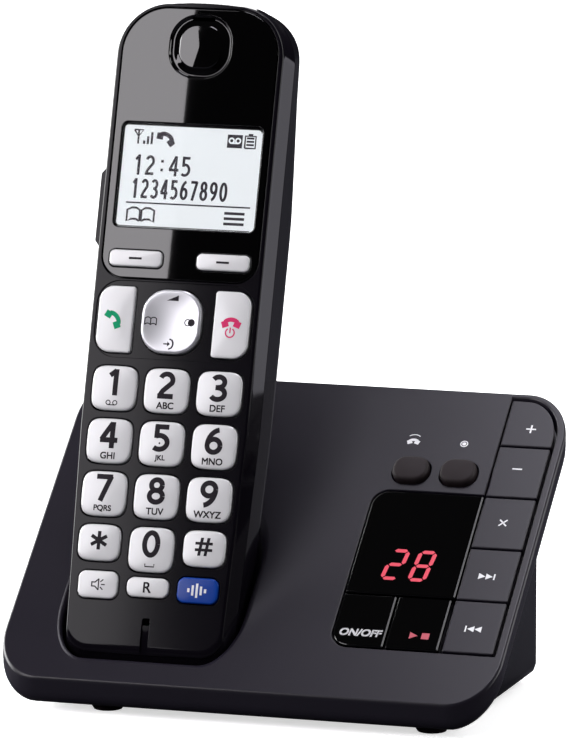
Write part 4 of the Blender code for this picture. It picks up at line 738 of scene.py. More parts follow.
def window_outline(inset):
    """The window's outline; only its high left corner is a large one."""
    small = kept(KEY_EDGE, inset)
    return rounded(0.0200 + inset, 0.0486 - inset, 0.0337 + inset, 0.0669 - inset,
                   [small, small, WINDOW_CORNER - inset, small], steps=12)


levels = [(window_outline(0), -0.0027)] + [(window_outline(i), r) for i, r in rounding(KEY_EDGE, 0, 6)]
counter_window = body("counter_window", *pile(levels, BASE_FACE), piano_black)
settle(counter_window)
stands_for(counter_window, "display_window", "base")
print("window corner radius mm", WINDOW_CORNER * 1000)

# %% [markdown]
# Locator keys
# Two soft rubber keys stand proud of the slope. Their section is a low dome with a generous edge.

# %% Domed keys


def bulge(outline, half, height):
    """A pillow: height * (1 - (x/a)^2) * (1 - (y/b)^2), zero along the edge and highest in the middle."""
    share = 1 - (outline / np.asarray(half)) ** 2
    return height * share[:, 0] * share[:, 1]


def domed(outline, half, foot, top, edge, crown, plane, middle, rings=7):
    """Side wall, rounded edge and a pillowed top closed by a pole; a negative crown gives a dish."""
    levels = [(outline(0), foot)]
    for inset, rise in rounding(edge, top, 7):
        flat = outline(inset)
        levels.append((flat, rise + bulge(flat, half, crown) * (rise > top - edge * 0.98)))
    rim = outline(edge)
    for share in np.linspace(1, 0, rings + 1)[1:-1].tolist():
        levels.append((rim * share, top + bulge(rim * share, half, crown)))
    points, faces = pile(levels, plane, middle, high="pole")
    peak = put(np.array([0, 0, top + crown]) + np.asarray(middle, dtype=float), plane)
    points[-1] = peak
    return points, faces


LOCATOR_TOP = 0.0016
LOCATOR_CROWN = 0.0003
for node, x in zip(("locator_key_left", "locator_key_right"), LOCATOR_X):
    shape = domed(lambda inset: centred(*LOCATOR_SIZE, -inset, steps=9), (0.0047, 0.00395),
                  -0.0030, LOCATOR_TOP, 0.0009, LOCATOR_CROWN, BASE_FACE, (x, LOCATOR_S, 0))
    stands_for(body("dome_" + node, *shape, black_rubber, sharp=50), node, node)
print("locator keys stand proud by mm", round((LOCATOR_TOP + LOCATOR_CROWN) * 1000, 2))

# %% [markdown]
# Housing of the handset
# The front housing is a shallow tub: its foot curls back to the cradle, its sides flare, and its rim
# meets the rear housing along one seam. Seen from the front its outline is tapered at the foot and
# slightly crowned at the head. One function gives that outline for any inset, depth and curl, and both
# halves are piled up from it.

# %% The handset's outline at a depth
PARTING = 0.0055
HALF_WIDTH = 0.0237
HEAD = 0.1652
HEAD_CORNER = 0.0160
CROWN_RISE = 0.0004
CORNER_SPAN = 0.008
SMALLEST_CORNER = 0.0040
FOOT_TAPER = 0.0014
FOOT_LOW = -0.0050
FOOT_CORNER = 0.0070
FOOT_CURL = 0.0043
CURL_POWER = 3.3
TOP_CURL = 0.154
STRAIGHT = (0.0550, 0.1420)
FRONT_EDGE = 0.0008
FRONT_WALL = 0.0018
FLOOR_INSET = 0.00267
FLOOR_DEPTH = 0.0020
SIDE_DEPTHS = (FRONT_EDGE, 0.002774, PARTING)
SIDE_INSETS = (0.0015, 0.00087, 0)


def handset_outline(inset, foot_depth=PARTING, head_depth=PARTING, curl=0.0):
    """Foot arcs, tapering sides, head arcs, and a crown that rises by a parabola to the middle."""
    half = HALF_WIDTH - inset
    foot = half - FOOT_TAPER
    top = HEAD - inset + TOP_CURL * curl
    low = FOOT_LOW + (foot_depth - PARTING) * math.tan(HANDSET_LEAN) + inset + curl
    tighten = CORNER_SPAN / (CORNER_SPAN + inset)
    head_corner = max(HEAD_CORNER * tighten - 0.5 * max(head_depth - PARTING, 0), SMALLEST_CORNER)
    foot_arcs = rounded(-foot, foot, low, top, FOOT_CORNER * tighten, steps=14).reshape(4, -1, 2)
    head_arcs = rounded(-half, half, low, top - CROWN_RISE, head_corner, steps=18).reshape(4, -1, 2)
    climb = np.linspace(*STRAIGHT, 16)
    right = np.column_stack([np.full(16, half), climb])
    left = right[::-1] * [-1, 1]
    x = np.linspace(1, -1, 10)[1:-1] * (half - head_corner)
    crown = np.column_stack([x, top - CROWN_RISE * (x / (half - head_corner)) ** 2])
    return np.concatenate([foot_arcs[0], right, head_arcs[1], crown, head_arcs[2], left, foot_arcs[3]])


def front_levels():
    """Inside floor, down inside the wall, out over the rim, up the flared side and over the edge."""
    levels = [(handset_outline(FLOOR_INSET, FLOOR_DEPTH, FLOOR_DEPTH, FOOT_CURL * 0.45), -FLOOR_DEPTH),
              (handset_outline(FRONT_WALL, PARTING), -PARTING)]

    def side(depth):
        inset = float(np.interp(depth, SIDE_DEPTHS, SIDE_INSETS))
        return inset, FOOT_CURL * (1 - depth / PARTING) ** CURL_POWER

    for depth in np.linspace(PARTING, FRONT_EDGE, 10).tolist():
        inset, curl = side(depth)
        levels.append((handset_outline(inset, depth, depth, curl), -depth))
    inset, curl = side(FRONT_EDGE)
    for angle in np.linspace(0, math.pi / 2, 8)[1:].tolist():
        turn = 1 - math.cos(angle)
        depth = FRONT_EDGE * (1 - math.sin(angle))
        levels.append((handset_outline(inset + FRONT_EDGE * turn, depth, depth,
                                       curl + (FOOT_CURL - curl) * turn), -depth))
    return levels


face_housing = body("face_housing", *pile(front_levels(), HANDSET), black_satin)
print("front housing rings", len(front_levels()), "points each", len(handset_outline(0)))

# %% [markdown]
# Keys of the handset, listed once
# Places and sizes of the keys serve both the openings and the keys themselves. The number keys are
# cushions, squarer than a circle and rounder than a rectangle, and the others have plain corners.

# %% The table of keys
DIGIT = (0.0119, 0.0114)
KEY_STEP = 0.0139
KEYS = {}
for index, label in enumerate("123456789"):
    KEYS["key_" + label] = (KEY_STEP * (index % 3 - 1), 0.0645 - 0.01345 * (index // 3), *DIGIT, 4.2, None)
KEYS["key_0"] = (0.0, 0.02415, *DIGIT, 4.2, None)
KEYS["key_star"] = (-KEY_STEP, 0.0252, 0.0112, 0.0093, 4.0, None)
KEYS["key_hash"] = (KEY_STEP, 0.0252, 0.0112, 0.0093, 4.0, None)
for key, x, width, height in (("speakerphone_key", -0.0132, 0.0105, 0.0069),
                              ("recall_key", 0.0, 0.0111, 0.0050),
                              ("noise_filter_key", 0.0132, 0.0107, 0.0065)):
    KEYS[key] = (x, 0.0146, width, height, None, (0.0020,) * 4)
KEYS["talk_key"] = (-0.0154, 0.0821, 0.0095, 0.0170, None, (0.0008, 0.0008, 0.0038, 0.0038))
KEYS["off_key"] = (0.0154, 0.0821, 0.0095, 0.0170, None, (0.0038, 0.0038, 0.0008, 0.0008))
for key, x in (("soft_key_left", -0.0116), ("soft_key_right", 0.0116)):
    KEYS[key] = (x, 0.0978, 0.0140, 0.0042, None, (0.0014,) * 4)


def key_outline(key, grow):
    """A key's outline round its own middle, made larger by grow."""
    width, height, power, corners = KEYS[key][2:]
    if power:
        return cushion(width, height, power, -grow)
    return centred(width, height, corners, grow)


print("keys", len(KEYS))

# %% Openings of the front housing
FACE_HALF = 0.0209
FACE_CORNER = 0.0060
PLATE_LOW = 0.0926
PLATE_HIGH = 0.162774
PLATE_HEAD_CORNER = 0.011927
PIT_FLOOR = -0.0030
UNDER_PLATE = -0.0013
NAVIGATOR = (-0.0005, 0.0821, 0)
NAVIGATOR_SIZE = (0.0158, 0.0163, 0.0062)
SOUND_SLOT = (0.0060, 0.0010, 0.0003, 0)
SOUND_PLACE = (0, 0.15995, 0)


def plate_outline(margin, steps=16):
    """The plate, or the recess that takes it, less a margin all round."""
    low_corner = FACE_CORNER - margin
    high_corner = PLATE_HEAD_CORNER - margin
    return rounded(-FACE_HALF + margin, FACE_HALF - margin, PLATE_LOW + margin, PLATE_HIGH - margin,
                   [low_corner, high_corner, high_corner, low_corner], steps=steps)


def navigator_outline(grow):
    """The four-way key's outline round its own middle."""
    return centred(*NAVIGATOR_SIZE, grow, steps=12)


plate_pit = pit("plate_pit", lambda grow: plate_outline(-grow), UNDER_PLATE, HANDSET, rim=0.00015)
band_sides = (-FACE_HALF, FACE_HALF, 0.0725, 0.0921)
band_pit = pit("band_pit", lambda grow: grown(band_sides, FACE_CORNER, grow, steps=12), -0.0004, HANDSET,
               rim=0.00015)
key_pits = [pit("pit_" + key, lambda grow: key_outline(key, 0.0003 + grow), PIT_FLOOR, HANDSET,
                (spec[0], spec[1], 0), rim=0.00015 if spec[1] < 0.07 else 0.0)
            for key, spec in KEYS.items()]
navigator_pit = pit("navigator_pit", lambda grow: navigator_outline(0.0004 + grow), PIT_FLOOR, HANDSET,
                    NAVIGATOR)
lens_pit = pit("lens_pit", lambda grow: rounded(-0.0186, 0.0184, 0.1061, 0.1325, 0.0012), PIT_FLOOR,
               HANDSET)
sound_pit = pit("sound_pit", lambda grow: centred(*SOUND_SLOT), PIT_FLOOR, HANDSET, SOUND_PLACE)
mic_pit = pit("mic_pit", lambda grow: centred(0.0019, 0.0017, 0.0004, grow), PIT_FLOOR, HANDSET,
              (0.0003, 0.0059, 0), rim=0.00015)
groove_pit = pit("groove_pit", lambda grow: rounded(-0.00065 - grow, 0.00125 + grow, -0.0070, 0.0056 + grow,
                                                   0.0003 + grow), -0.00045, HANDSET, rim=0.00020)
carve(face_housing, "DIFFERENCE", [plate_pit, band_pit])
carve(face_housing, "DIFFERENCE", key_pits + [navigator_pit, lens_pit, sound_pit, mic_pit])
carve(face_housing, "DIFFERENCE", [groove_pit])
settle(face_housing)
stands_for(face_housing, "front_housing", "handset")
print("front housing faces", len(face_housing.data.polygons))

# %% [markdown]
# Rear housing
# The back is a deeper tub that thins towards the head. Its rounding is a quarter circle whose end
# follows the sloping back, so each ring's depth is worked out point by point. Its flat back is closed
# by strips from side to side, which can bend where the slope begins.

# %% Rings of the rear housing
REAR_ROUND = 0.0080
REAR_TUCK = 0.0006
PARTING_GAP = 0.0003
HEAD_DEPTH = 0.0158
REAR_WALL = 0.0018
REAR_DEPTH = 0.0238
BEND_START = 0.1120
BEND_FALL = 0.161
COVER_SEAT = 0.0219
CELL_RADIUS = 0.00525
SIDE_KEY_V = 0.1117


def thickness(v):
    """Depth of the back: level below, then falling by a smooth bend towards the head."""
    past = v - BEND_START
    return REAR_DEPTH - BEND_FALL * (past + np.sqrt(past ** 2 + 0.004 ** 2) - 0.0006) / 2


def rear_levels(wall):
    """From the parting line down and round into the back, inset by a wall's thickness."""
    plan = handset_outline(0)
    depth = np.minimum(thickness(plan[:, 1]), REAR_DEPTH)
    levels = [(handset_outline(wall, PARTING + PARTING_GAP, PARTING), -(PARTING + PARTING_GAP))]
    for angle in np.linspace(0, math.pi / 2, 12).tolist():
        inset = REAR_TUCK + wall + (REAR_ROUND - wall) * (1 - math.cos(angle))
        back = (REAR_ROUND - wall) * math.sin(angle) - REAR_ROUND
        flat = handset_outline(inset, REAR_DEPTH + back, HEAD_DEPTH + back)
        levels.append((flat, -(depth + back)))
    return levels


rear_stack = list(reversed(rear_levels(0))) + rear_levels(REAR_WALL)
back_housing = body("back_housing", *pile(rear_stack, HANDSET, low="strip", high="strip"), black_satin)


def slab(name, left, right, low, high, corner, floor, top, plane=HANDSET):
    """A plain block with rounded corners between two rises."""
    outline = rounded(left, right, low, high, corner, steps=6)
    return body(name, *pile([(outline, floor), (outline, top)], plane))


CELL_DEPTH = COVER_SEAT - 0.0004 - CELL_RADIUS
BAY_FLOOR = CELL_DEPTH - CELL_RADIUS - 0.0004
ledge = slab("ledge", -0.0162, 0.0162, 0.0558, 0.1122, 0.0030, -0.0229, -COVER_SEAT + REAR_WALL)
bay_box = slab("bay_box", -0.0123, 0.0123, 0.0600, 0.1081, 0.0005, -0.0229, -BAY_FLOOR + 0.0012)
cover_cut = slab("cover_cut", -0.0153, 0.0153, 0.0567, 0.1113, 0.0033, -0.0278, -COVER_SEAT)
bay_cut = slab("bay_cut", -0.0111, 0.0111, 0.0612, 0.1069, 0.0005, -0.0278, -BAY_FLOOR)
side_cut = slab("side_cut", -0.0277, -0.0199, SIDE_KEY_V - 0.0114, SIDE_KEY_V + 0.0114, 0.0003,
                -0.0118, -0.0066)
FOOT_CUT = (0.0061515, 0.0141515)
foot_cuts = []
for node in ("charge_plate_left", "charge_plate_right"):
    low, high = (np.array(c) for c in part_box(node))
    foot_cuts.append(slab("foot_cut", low[0] - 0.0003, high[0] + 0.0003, low[1] - 0.0003, high[1] + 0.0003,
                          0.0004, *FOOT_CUT, DESK))
carve(back_housing, "UNION", [ledge, bay_box])
carve(back_housing, "DIFFERENCE", [cover_cut, bay_cut, side_cut] + foot_cuts)
settle(back_housing, 38)
stands_for(back_housing, "rear_housing", "handset")
print("rear housing faces", len(back_housing.data.polygons), "thickness at head mm",
      round(float(thickness(0.165)) * 1000, 2))

# %% [markdown]
# Gloss plate with the earpiece
# The upper half is faced by one polished plate. A groove runs round the earpiece: it slopes down from
# the pad to its deepest line near the outside, so it mirrors nothing bright, and only its outer rim
# catches a thin line of light. Pad and groove are one cutter, worked from the pad's middle outwards.

# %% The plate and its openings
plate_levels = [(plate_outline(0.0003), -0.0010)]
plate_levels += [(plate_outline(0.0003 + i), r) for i, r in rounding(0.00025, 0, 5)]
gloss_plate = body("gloss_plate", *pile(plate_levels, HANDSET), piano_black)


def earpiece(grow):
    """The groove's outer edge round the earpiece's middle, made larger by grow."""
    return centred(0.0166, 0.0163, 0.0070, grow, steps=18)


EARPIECE = (0, 0.1528, 0)
PAD_RISE = -0.00008
PAD_MARGIN = 0.0029
PAD_CROWN = 0.00005
groove = []
for share in np.linspace(0, 1, 8)[1:].tolist():
    groove.append((earpiece(-PAD_MARGIN) * share, PAD_RISE - PAD_CROWN * share ** 2))
reach = np.linspace(0, 0.00285, 20)
depth = np.interp(reach, np.array([0, 0.12, 1.0, 1.9, 2.2, 2.45, 2.65, 2.85]) * 0.001,
                  np.array([0.13, 0.24, 0.50, 0.80, 0.84, 0.72, 0.45, 0.20]) * 0.001)
depth[1:-1] = np.convolve(depth, [0.25, 0.5, 0.25], "valid")
groove += [(earpiece(out - PAD_MARGIN), -deep)
           for out, deep in zip(reach[1:].tolist(), depth[1:].tolist())]
groove += [(earpiece(grow - 0.00003), rise) for grow, rise in flare(0.00018)]
points, faces = pile(groove, HANDSET, EARPIECE, low="pole")
points[-1] = put([0, EARPIECE[1], PAD_RISE], HANDSET)
ear_cut = body("ear_cut", points, faces)
soft_pits = [pit("soft_pit", lambda grow: key_outline(key, 0.0003 + grow), UNDER_PLATE, HANDSET,
                 (*KEYS[key][:2], 0), rim=0.00015) for key in ("soft_key_left", "soft_key_right")]
lens_hole = pit("lens_hole", lambda grow: grown((-0.0189, 0.0189, 0.1057, 0.1330), 0.0017, grow),
                UNDER_PLATE, HANDSET, rim=0.00012)
sound_hole = pit("sound_hole", lambda grow: centred(*SOUND_SLOT), UNDER_PLATE, HANDSET, SOUND_PLACE)
carve(gloss_plate, "DIFFERENCE", [ear_cut, lens_hole, sound_hole] + soft_pits)
settle(gloss_plate, 30)
stands_for(gloss_plate, "face_plate", "handset")
print("plate faces", len(gloss_plate.data.polygons))

# %% Lens and display panel


def lens_outline(inset):
    """The clear lens over the display, less an inset."""
    return grown((-0.0186, 0.0186, 0.1060, 0.1327), 0.0014, -inset, steps=6)


lens_levels = [(lens_outline(0), -0.0010)] + [(lens_outline(i), r) for i, r in rounding(0.00015, 0, 3)]
clear_lens = body("clear_lens", *pile(lens_levels, HANDSET), lens_clear)
settle(clear_lens)
stands_for(clear_lens, "display_lens", "handset")
panel_outline = rounded(-0.0183, 0.0181, 0.1064, 0.1322, 0.0009, steps=5)
panel = body("lcd_glass", *pile([(panel_outline, -0.00128), (panel_outline, -0.00122)], HANDSET), lcd_panel)
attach(panel, "handset")
print("panel mm", np.round(np.ptp(panel_outline, axis=0) * 1000, 1))

# %% [markdown]
# Caps of the handset's keys
# Each cap has a short wall, a rounded edge and a pillowed top. The four-way key is dished instead, so
# the thumb finds its middle.

# %% Key caps
KEY_TOP = 0.0006
KEY_FOOT = -0.0023
CROWN = {key: 0.00026 if spec[4] else 0.00014 for key, spec in KEYS.items()}
EDGE = {key: 0.00055 if spec[4] else 0.00040 for key, spec in KEYS.items()}
for key, spec in KEYS.items():
    half = (spec[2] / 2, spec[3] / 2)
    shape = domed(lambda inset: key_outline(key, -inset), half, KEY_FOOT, KEY_TOP, EDGE[key], CROWN[key],
                  HANDSET, (spec[0], spec[1], 0))
    made = body("cap_" + key, *shape, FINISHES[slot_of[key]], sharp=60)
    stands_for(made, key, key)

NAVIGATOR_HALF = (0.0079, 0.00815)
NAVIGATOR_TOP = 0.0011
NAVIGATOR_DISH = -0.0007
shape = domed(lambda inset: navigator_outline(-inset), NAVIGATOR_HALF, KEY_FOOT, NAVIGATOR_TOP, 0.0008,
              NAVIGATOR_DISH, HANDSET, NAVIGATOR, rings=10)
stands_for(body("four_way_cap", *shape, navigator_silver, sharp=60), "navigator_key", "navigator_key")
print("caps", len(KEYS) + 1)

# %% [markdown]
# Marks on the keys
# Digits and signs are printed on the real keys. Here each is a thin sheet of ink that lies a hair over
# the key and rides on it. The digits are ribbons along centre lines of arcs and straights, the small
# letters come from Blender's own font, made a mesh, and the signs are drawn from arcs and bars. A sheet
# is divided finely enough to follow the key's pillow.

# %% Letters and signs as flat shapes
LIFT = 0.000018


def words(text, height):
    """Flat mesh of a text: its points are scaled so that the text has this height, centred."""
    curve = bpy.data.curves.new("lettering", "FONT")
    curve.body = text
    holder = bpy.data.objects.new("lettering", curve)
    bpy.context.collection.objects.link(holder)
    graph = bpy.context.evaluated_depsgraph_get()
    flat = bpy.data.meshes.new_from_object(holder.evaluated_get(graph), depsgraph=graph)
    points = np.empty(len(flat.vertices) * 3)
    flat.vertices.foreach_get("co", points)
    points = points.reshape(-1, 3)[:, :2]
    faces = [list(face.vertices) for face in flat.polygons]
    bpy.data.objects.remove(holder)
    bpy.data.curves.remove(curve)
    bpy.data.meshes.remove(flat)
    low, high = points.min(axis=0), points.max(axis=0)
    return (points - (low + high) / 2) * height / (high[1] - low[1]), faces


def bold(mark, spread):
    """Four copies moved by a hair, whose overlap makes a stroke thicker."""
    points, faces = mark
    shifts = np.array([[-1, -1], [1, -1], [1, 1], [-1, 1]]) * spread
    count = len(points)
    stacked = (points[None, :, :] + shifts[:, None, :]).reshape(-1, 2)
    return stacked, [[index + count * copy for index in face] for copy in range(4) for face in faces]


def polygon(*corners):
    """One flat face through the corners, in millimetres."""
    return np.array(corners, dtype=float) * 0.001, [list(range(len(corners)))]


def ring_arc(radius, width, start=0.0, end=360.0, steps=28):
    """A band between two radii in millimetres, from one angle to another."""
    angle = np.radians(np.linspace(start, end, steps + 1))
    circle = np.column_stack([np.cos(angle), np.sin(angle)])
    points = np.concatenate([circle * (radius - width / 2), circle * (radius + width / 2)]) * 0.001
    k = np.arange(steps)
    quads = np.stack([k, k + steps + 1, k + steps + 2, k + 1], axis=1)
    return points, quads.tolist()


def bar(left, right, low, high):
    """A plain rectangle, in millimetres."""
    return polygon((left, low), (right, low), (right, high), (left, high))


def moved(mark, x=0.0, y=0.0, turn=0.0, scale=1.0, slant=0.0):
    """Scales, slants, turns in degrees and then moves a mark by millimetres."""
    points, faces = mark
    c, s = math.cos(math.radians(turn)), math.sin(math.radians(turn))
    sheared = np.column_stack([points[:, 0] + slant * points[:, 1], points[:, 1]]) * scale
    return sheared @ np.array([[c, s], [-s, c]]) + np.array([x, y]) * 0.001, faces


def stroke(path, thick):
    """A ribbon along a path in millimetres: each point is moved to both sides by half the thickness."""
    path = np.asarray(path, dtype=float)
    ahead = np.gradient(path, axis=0)
    ahead /= np.linalg.norm(ahead, axis=1)[:, None]
    side = np.column_stack([-ahead[:, 1], ahead[:, 0]]) * thick / 2
    k = np.arange(len(path) - 1)
    quads = np.stack([k, k + 1, k + 1 + len(path), k + len(path)], axis=1)
    return np.concatenate([path - side, path + side]) * 0.001, quads.tolist()


def curve(x, y, across, tall, start, end, steps=22):
    """Points of an ellipse from one angle in degrees to another."""
    angle = np.radians(np.linspace(start, end, steps + 1))
    return np.column_stack([x + across * np.cos(angle), y + tall * np.sin(angle)])


def gather(marks):
    """Several marks as one flat mesh."""
    points = np.concatenate([mark[0] for mark in marks])
    starts = np.cumsum([0] + [len(mark[0]) for mark in marks])
    faces = [[index + int(start) for index in face]
             for mark, start in zip(marks, starts) for face in mark[1]]
    return points, faces


def receiver(width, thick):
    """A telephone receiver: an arched grip with a pad turned inwards at each end."""
    half = width / 2 - thick * 0.6
    pads = [moved(bar(-thick * 0.8, thick * 0.8, -thick * 1.05, thick * 0.45), x=side * half * 0.94,
                  y=-half * 0.12, turn=-side * 20) for side in (-1, 1)]
    return gather([stroke(curve(0, -half * 0.3, half, half * 0.66, 154, 26, 16), thick)] + pads)


# Centre lines of the digits in a box from -1 to 1 both ways
DIGITS = {
    "0": [curve(0, 0, 1, 1, 0, 360, 40)],
    "1": [[(-0.72, 0.60), (0.20, 1.06)], [(0.20, 1.18), (0.20, -1.18)]],
    "2": [np.concatenate([curve(-0.06, 0.43, 0.94, 0.57, 158, -22), [(-0.50, -0.52), (-0.98, -1.0)]]),
          [(-1.28, -1.0), (1.10, -1.0)]],
    "3": [curve(-0.12, 0.52, 0.90, 0.48, 150, -90), curve(-0.16, -0.50, 1.08, 0.52, 90, -150),
          [(-0.55, 0.03), (-0.12, 0.03)]],
    "4": [[(0.42, 1.10), (-1.12, -0.42)], [(-1.35, -0.45), (1.32, -0.45)], [(0.48, 1.18), (0.48, -1.18)]],
    "5": [[(-1.05, 1.0), (1.02, 1.0)], [(-0.74, 1.18), (-0.74, -0.02)],
          curve(-0.28, -0.40, 1.20, 0.62, 118, -132)],
    "6": [curve(0, -0.42, 0.98, 0.58, 0, 360, 36), curve(0.95, -0.42, 1.93, 1.44, 98, 180)],
    "7": [[(-1.25, 1.0), (1.20, 1.0)], [(0.98, 1.05), (-0.45, -1.18)]],
    "8": [curve(0, 0.52, 0.82, 0.48, 0, 360, 36), curve(0, -0.47, 1.0, 0.53, 0, 360, 36)],
    "9": [curve(0, 0.42, 0.98, 0.58, 0, 360, 36), curve(-0.95, 0.42, 1.93, 1.44, -82, 0)]}


def digit(label, width, height, thick):
    """The strokes of a digit of a given outer size, in millimetres."""
    half = np.array([width - thick, height - thick]) / 2
    return gather([stroke(np.asarray(path) * half, thick) for path in DIGITS[label]])


def ink(name, marks, finish, plane, middle, body_name, node, height=lambda flat: np.zeros(len(flat))):
    """Divides long edges, turns each face outwards, adds the surface's height and lays the sheet."""
    points, faces = gather(marks)
    sheet = bmesh.new()
    corners = [sheet.verts.new((x, y, 0)) for x, y in points.tolist()]
    for face in faces:
        sheet.faces.new([corners[index] for index in face])
    sheet.normal_update()
    bmesh.ops.triangulate(sheet, faces=sheet.faces)
    for _ in range(3):
        longest = [edge for edge in sheet.edges if edge.calc_length() > 0.0009]
        if longest:
            bmesh.ops.subdivide_edges(sheet, edges=longest, cuts=1)
            bmesh.ops.triangulate(sheet, faces=sheet.faces)
    sheet.normal_update()
    bmesh.ops.reverse_faces(sheet, faces=[face for face in sheet.faces if face.normal.z < 0])
    flat = np.array([vertex.co[:2] for vertex in sheet.verts])
    faces = [[vertex.index for vertex in face.verts] for face in sheet.faces]
    sheet.free()
    rises = height(flat) + LIFT
    made = body(name, put(level(flat, rises) + np.asarray(middle, dtype=float), plane), faces, finish)
    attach(made, body_name)


print("points of the digits", {label: len(digit(label, 4.8, 7.0, 1.32)[0]) for label in DIGITS})

# %% Digits, letters and signs of the keypad
LETTERS = {"2": "ABC", "3": "DEF", "4": "GHI", "5": "JKL", "6": "MNO", "7": "PQRS", "8": "TUV", "9": "WXYZ"}


def on_key(key):
    """Height of a key's pillowed top over the housing's face."""
    spec = KEYS[key]
    return lambda flat: KEY_TOP + bulge(flat, (spec[2] / 2, spec[3] / 2), CROWN[key])


def key_ink(key, marks, finish):
    """Marks printed on the pillowed top of a key."""
    spec = KEYS[key]
    ink("print_" + key, marks, finish, HANDSET, (spec[0], spec[1], 0), key, key, on_key(key))


SUB_ROW = -3.75
for label in "1234567890":
    marks = [moved(digit(label, 4.8, 7.0, 1.32), y=1.45)]
    if label in LETTERS:
        marks.append(bold(moved(words(LETTERS[label], 0.00165), y=SUB_ROW), 0.000055))
    if label == "1":
        marks += [moved(ring_arc(0.55, 0.25), x=x, y=SUB_ROW) for x in (-1.2, 0.6)]
        marks.append(bar(-1.2, 0.6, -4.45, -4.2))
    if label == "5":
        marks.append(moved(ring_arc(0.12, 0.24), x=-0.4, y=0.1))
    if label == "0":
        marks += [stroke([(-1.2, -3.6), (-1.2, -4.3), (1.2, -4.3), (1.2, -3.6)], 0.3)]
    key_ink("key_" + label, marks, ink_dark)
star = [moved(bar(-2.35, 2.35, -0.46, 0.46), turn=angle) for angle in (30, 90, 150)]
key_ink("key_star", [moved(mark, y=0.5) for mark in star], ink_dark)
hash_bars = [moved(bar(-2.3, 2.3, -0.36, 0.36), y=y) for y in (1.32, -0.32)]
hash_bars += [moved(bar(-0.40, 0.40, -2.3, 2.3), x=x, y=0.5, slant=0.14) for x in (-0.85, 0.85)]
key_ink("key_hash", hash_bars, ink_dark)
sound = [bar(-1.5, -1.2, -0.5, 0.5), bar(-1.5, -0.5, -0.6, -0.32), bar(-1.5, -0.5, 0.32, 0.6),
         polygon((-0.7, 0.55), (-0.5, 0.35), (0.35, 1.15), (0.15, 1.35)),
         polygon((-0.7, -0.55), (0.15, -1.35), (0.35, -1.15), (-0.5, -0.35)), bar(0.1, 0.38, -1.3, 1.3)]
sound += [moved(bar(0.85, 1.75, -0.13, 0.13), turn=angle) for angle in (-42, 0, 42)]
key_ink("speakerphone_key", [moved(mark, scale=1.12) for mark in sound], ink_dark)
key_ink("recall_key", [bold(words("R", 0.0026), 0.00006)], ink_dark)
key_ink("noise_filter_key", [bar(left, right, -reach, reach) for left, right, reach in
                             ((-2.6, -2.0, 0.5), (-1.5, -0.9, 1.3), (-0.4, 0.2, 1.8), (0.7, 1.3, 1.1),
                              (1.8, 2.4, 0.5))], ink_pale)
key_ink("talk_key", [moved(receiver(5.4, 1.15), turn=-48, x=-0.2, y=0.2)], ink_green)
key_ink("off_key", [moved(receiver(5.0, 1.1), y=0.7), moved(ring_arc(1.15, 0.35, 120, 420), x=-0.1, y=-2.0),
                    bar(-0.28, 0.08, -2.1, -0.65)], ink_red)
for key in ("soft_key_left", "soft_key_right"):
    key_ink(key, [bar(-1.7, 1.7, -0.28, 0.28)], ink_dark)

# %% Signs of the four-way key


def on_dish(flat):
    """Height of the four-way key's dished top."""
    return NAVIGATOR_TOP + bulge(flat, NAVIGATOR_HALF, NAVIGATOR_DISH)


wedge = polygon((-1.7, -0.65), (1.5, -0.65), (1.5, 0.75))
leaf = [ring_arc(1.1, 0.32, 35, 145, 10), moved(ring_arc(1.1, 0.32, 35, 145, 10), y=-1.9),
        bar(-1.06, -0.74, -1.35, 0.75), bar(0.74, 1.06, -1.35, 0.75)]
book = [moved(m, x=x, scale=0.82) for m in leaf for x in (-0.74, 0.74)]
links = [ring_arc(0.80, 0.28), moved(ring_arc(0.48, 0.96), x=1.0)]
hook = [bar(-1.5, -0.1, -0.17, 0.17), polygon((-0.45, -0.68), (0.30, 0), (-0.45, 0.68)),
        moved(ring_arc(1.55, 0.44, -48, 48, 12), x=-0.50)]
hook += [moved(bar(-0.55, 0, -0.2, 0.2), x=0.5, y=y, turn=turn) for y, turn in ((1.12, -20), (-1.12, 20))]
signs = [moved(wedge, y=6.0)] + [moved(m, x=-5.4) for m in book]
signs += [moved(m, x=4.4) for m in links] + [moved(m, y=-5.7) for m in hook]
ink("print_four_way", signs, ink_dark, HANDSET, NAVIGATOR, "navigator_key", "navigator_key", on_dish)
print("four-way signs", len(signs))

# %% [markdown]
# Picture on the display
# The display shows a time, a row of digits and generic signs: reception, receiver, tape and battery
# above, a book and a list below. It is drawn with dark strokes that lie on the lit panel just under the
# lens; the tape sign is a dark field with light strokes over it.

# %% Strokes of the display
LINE = 0.70


def row_of(text, left, low, step, width, height):
    """Digits side by side from a left edge; a colon is two dots."""
    marks = []
    for index, label in enumerate(text):
        middle = left + width / 2 + index * step
        if label == ":":
            marks += [moved(bar(-0.35, 0.35, -0.35, 0.35), x=middle, y=low + height * share)
                      for share in (0.28, 0.72)]
        else:
            marks.append(moved(digit(label, width, height, LINE), x=middle, y=low + height / 2))
    return marks


def frame_of(left, right, low, high, thick):
    """The four sides of a box as one stroke."""
    return stroke([(left, low), (right, low), (right, high), (left, high), (left, low)], thick)


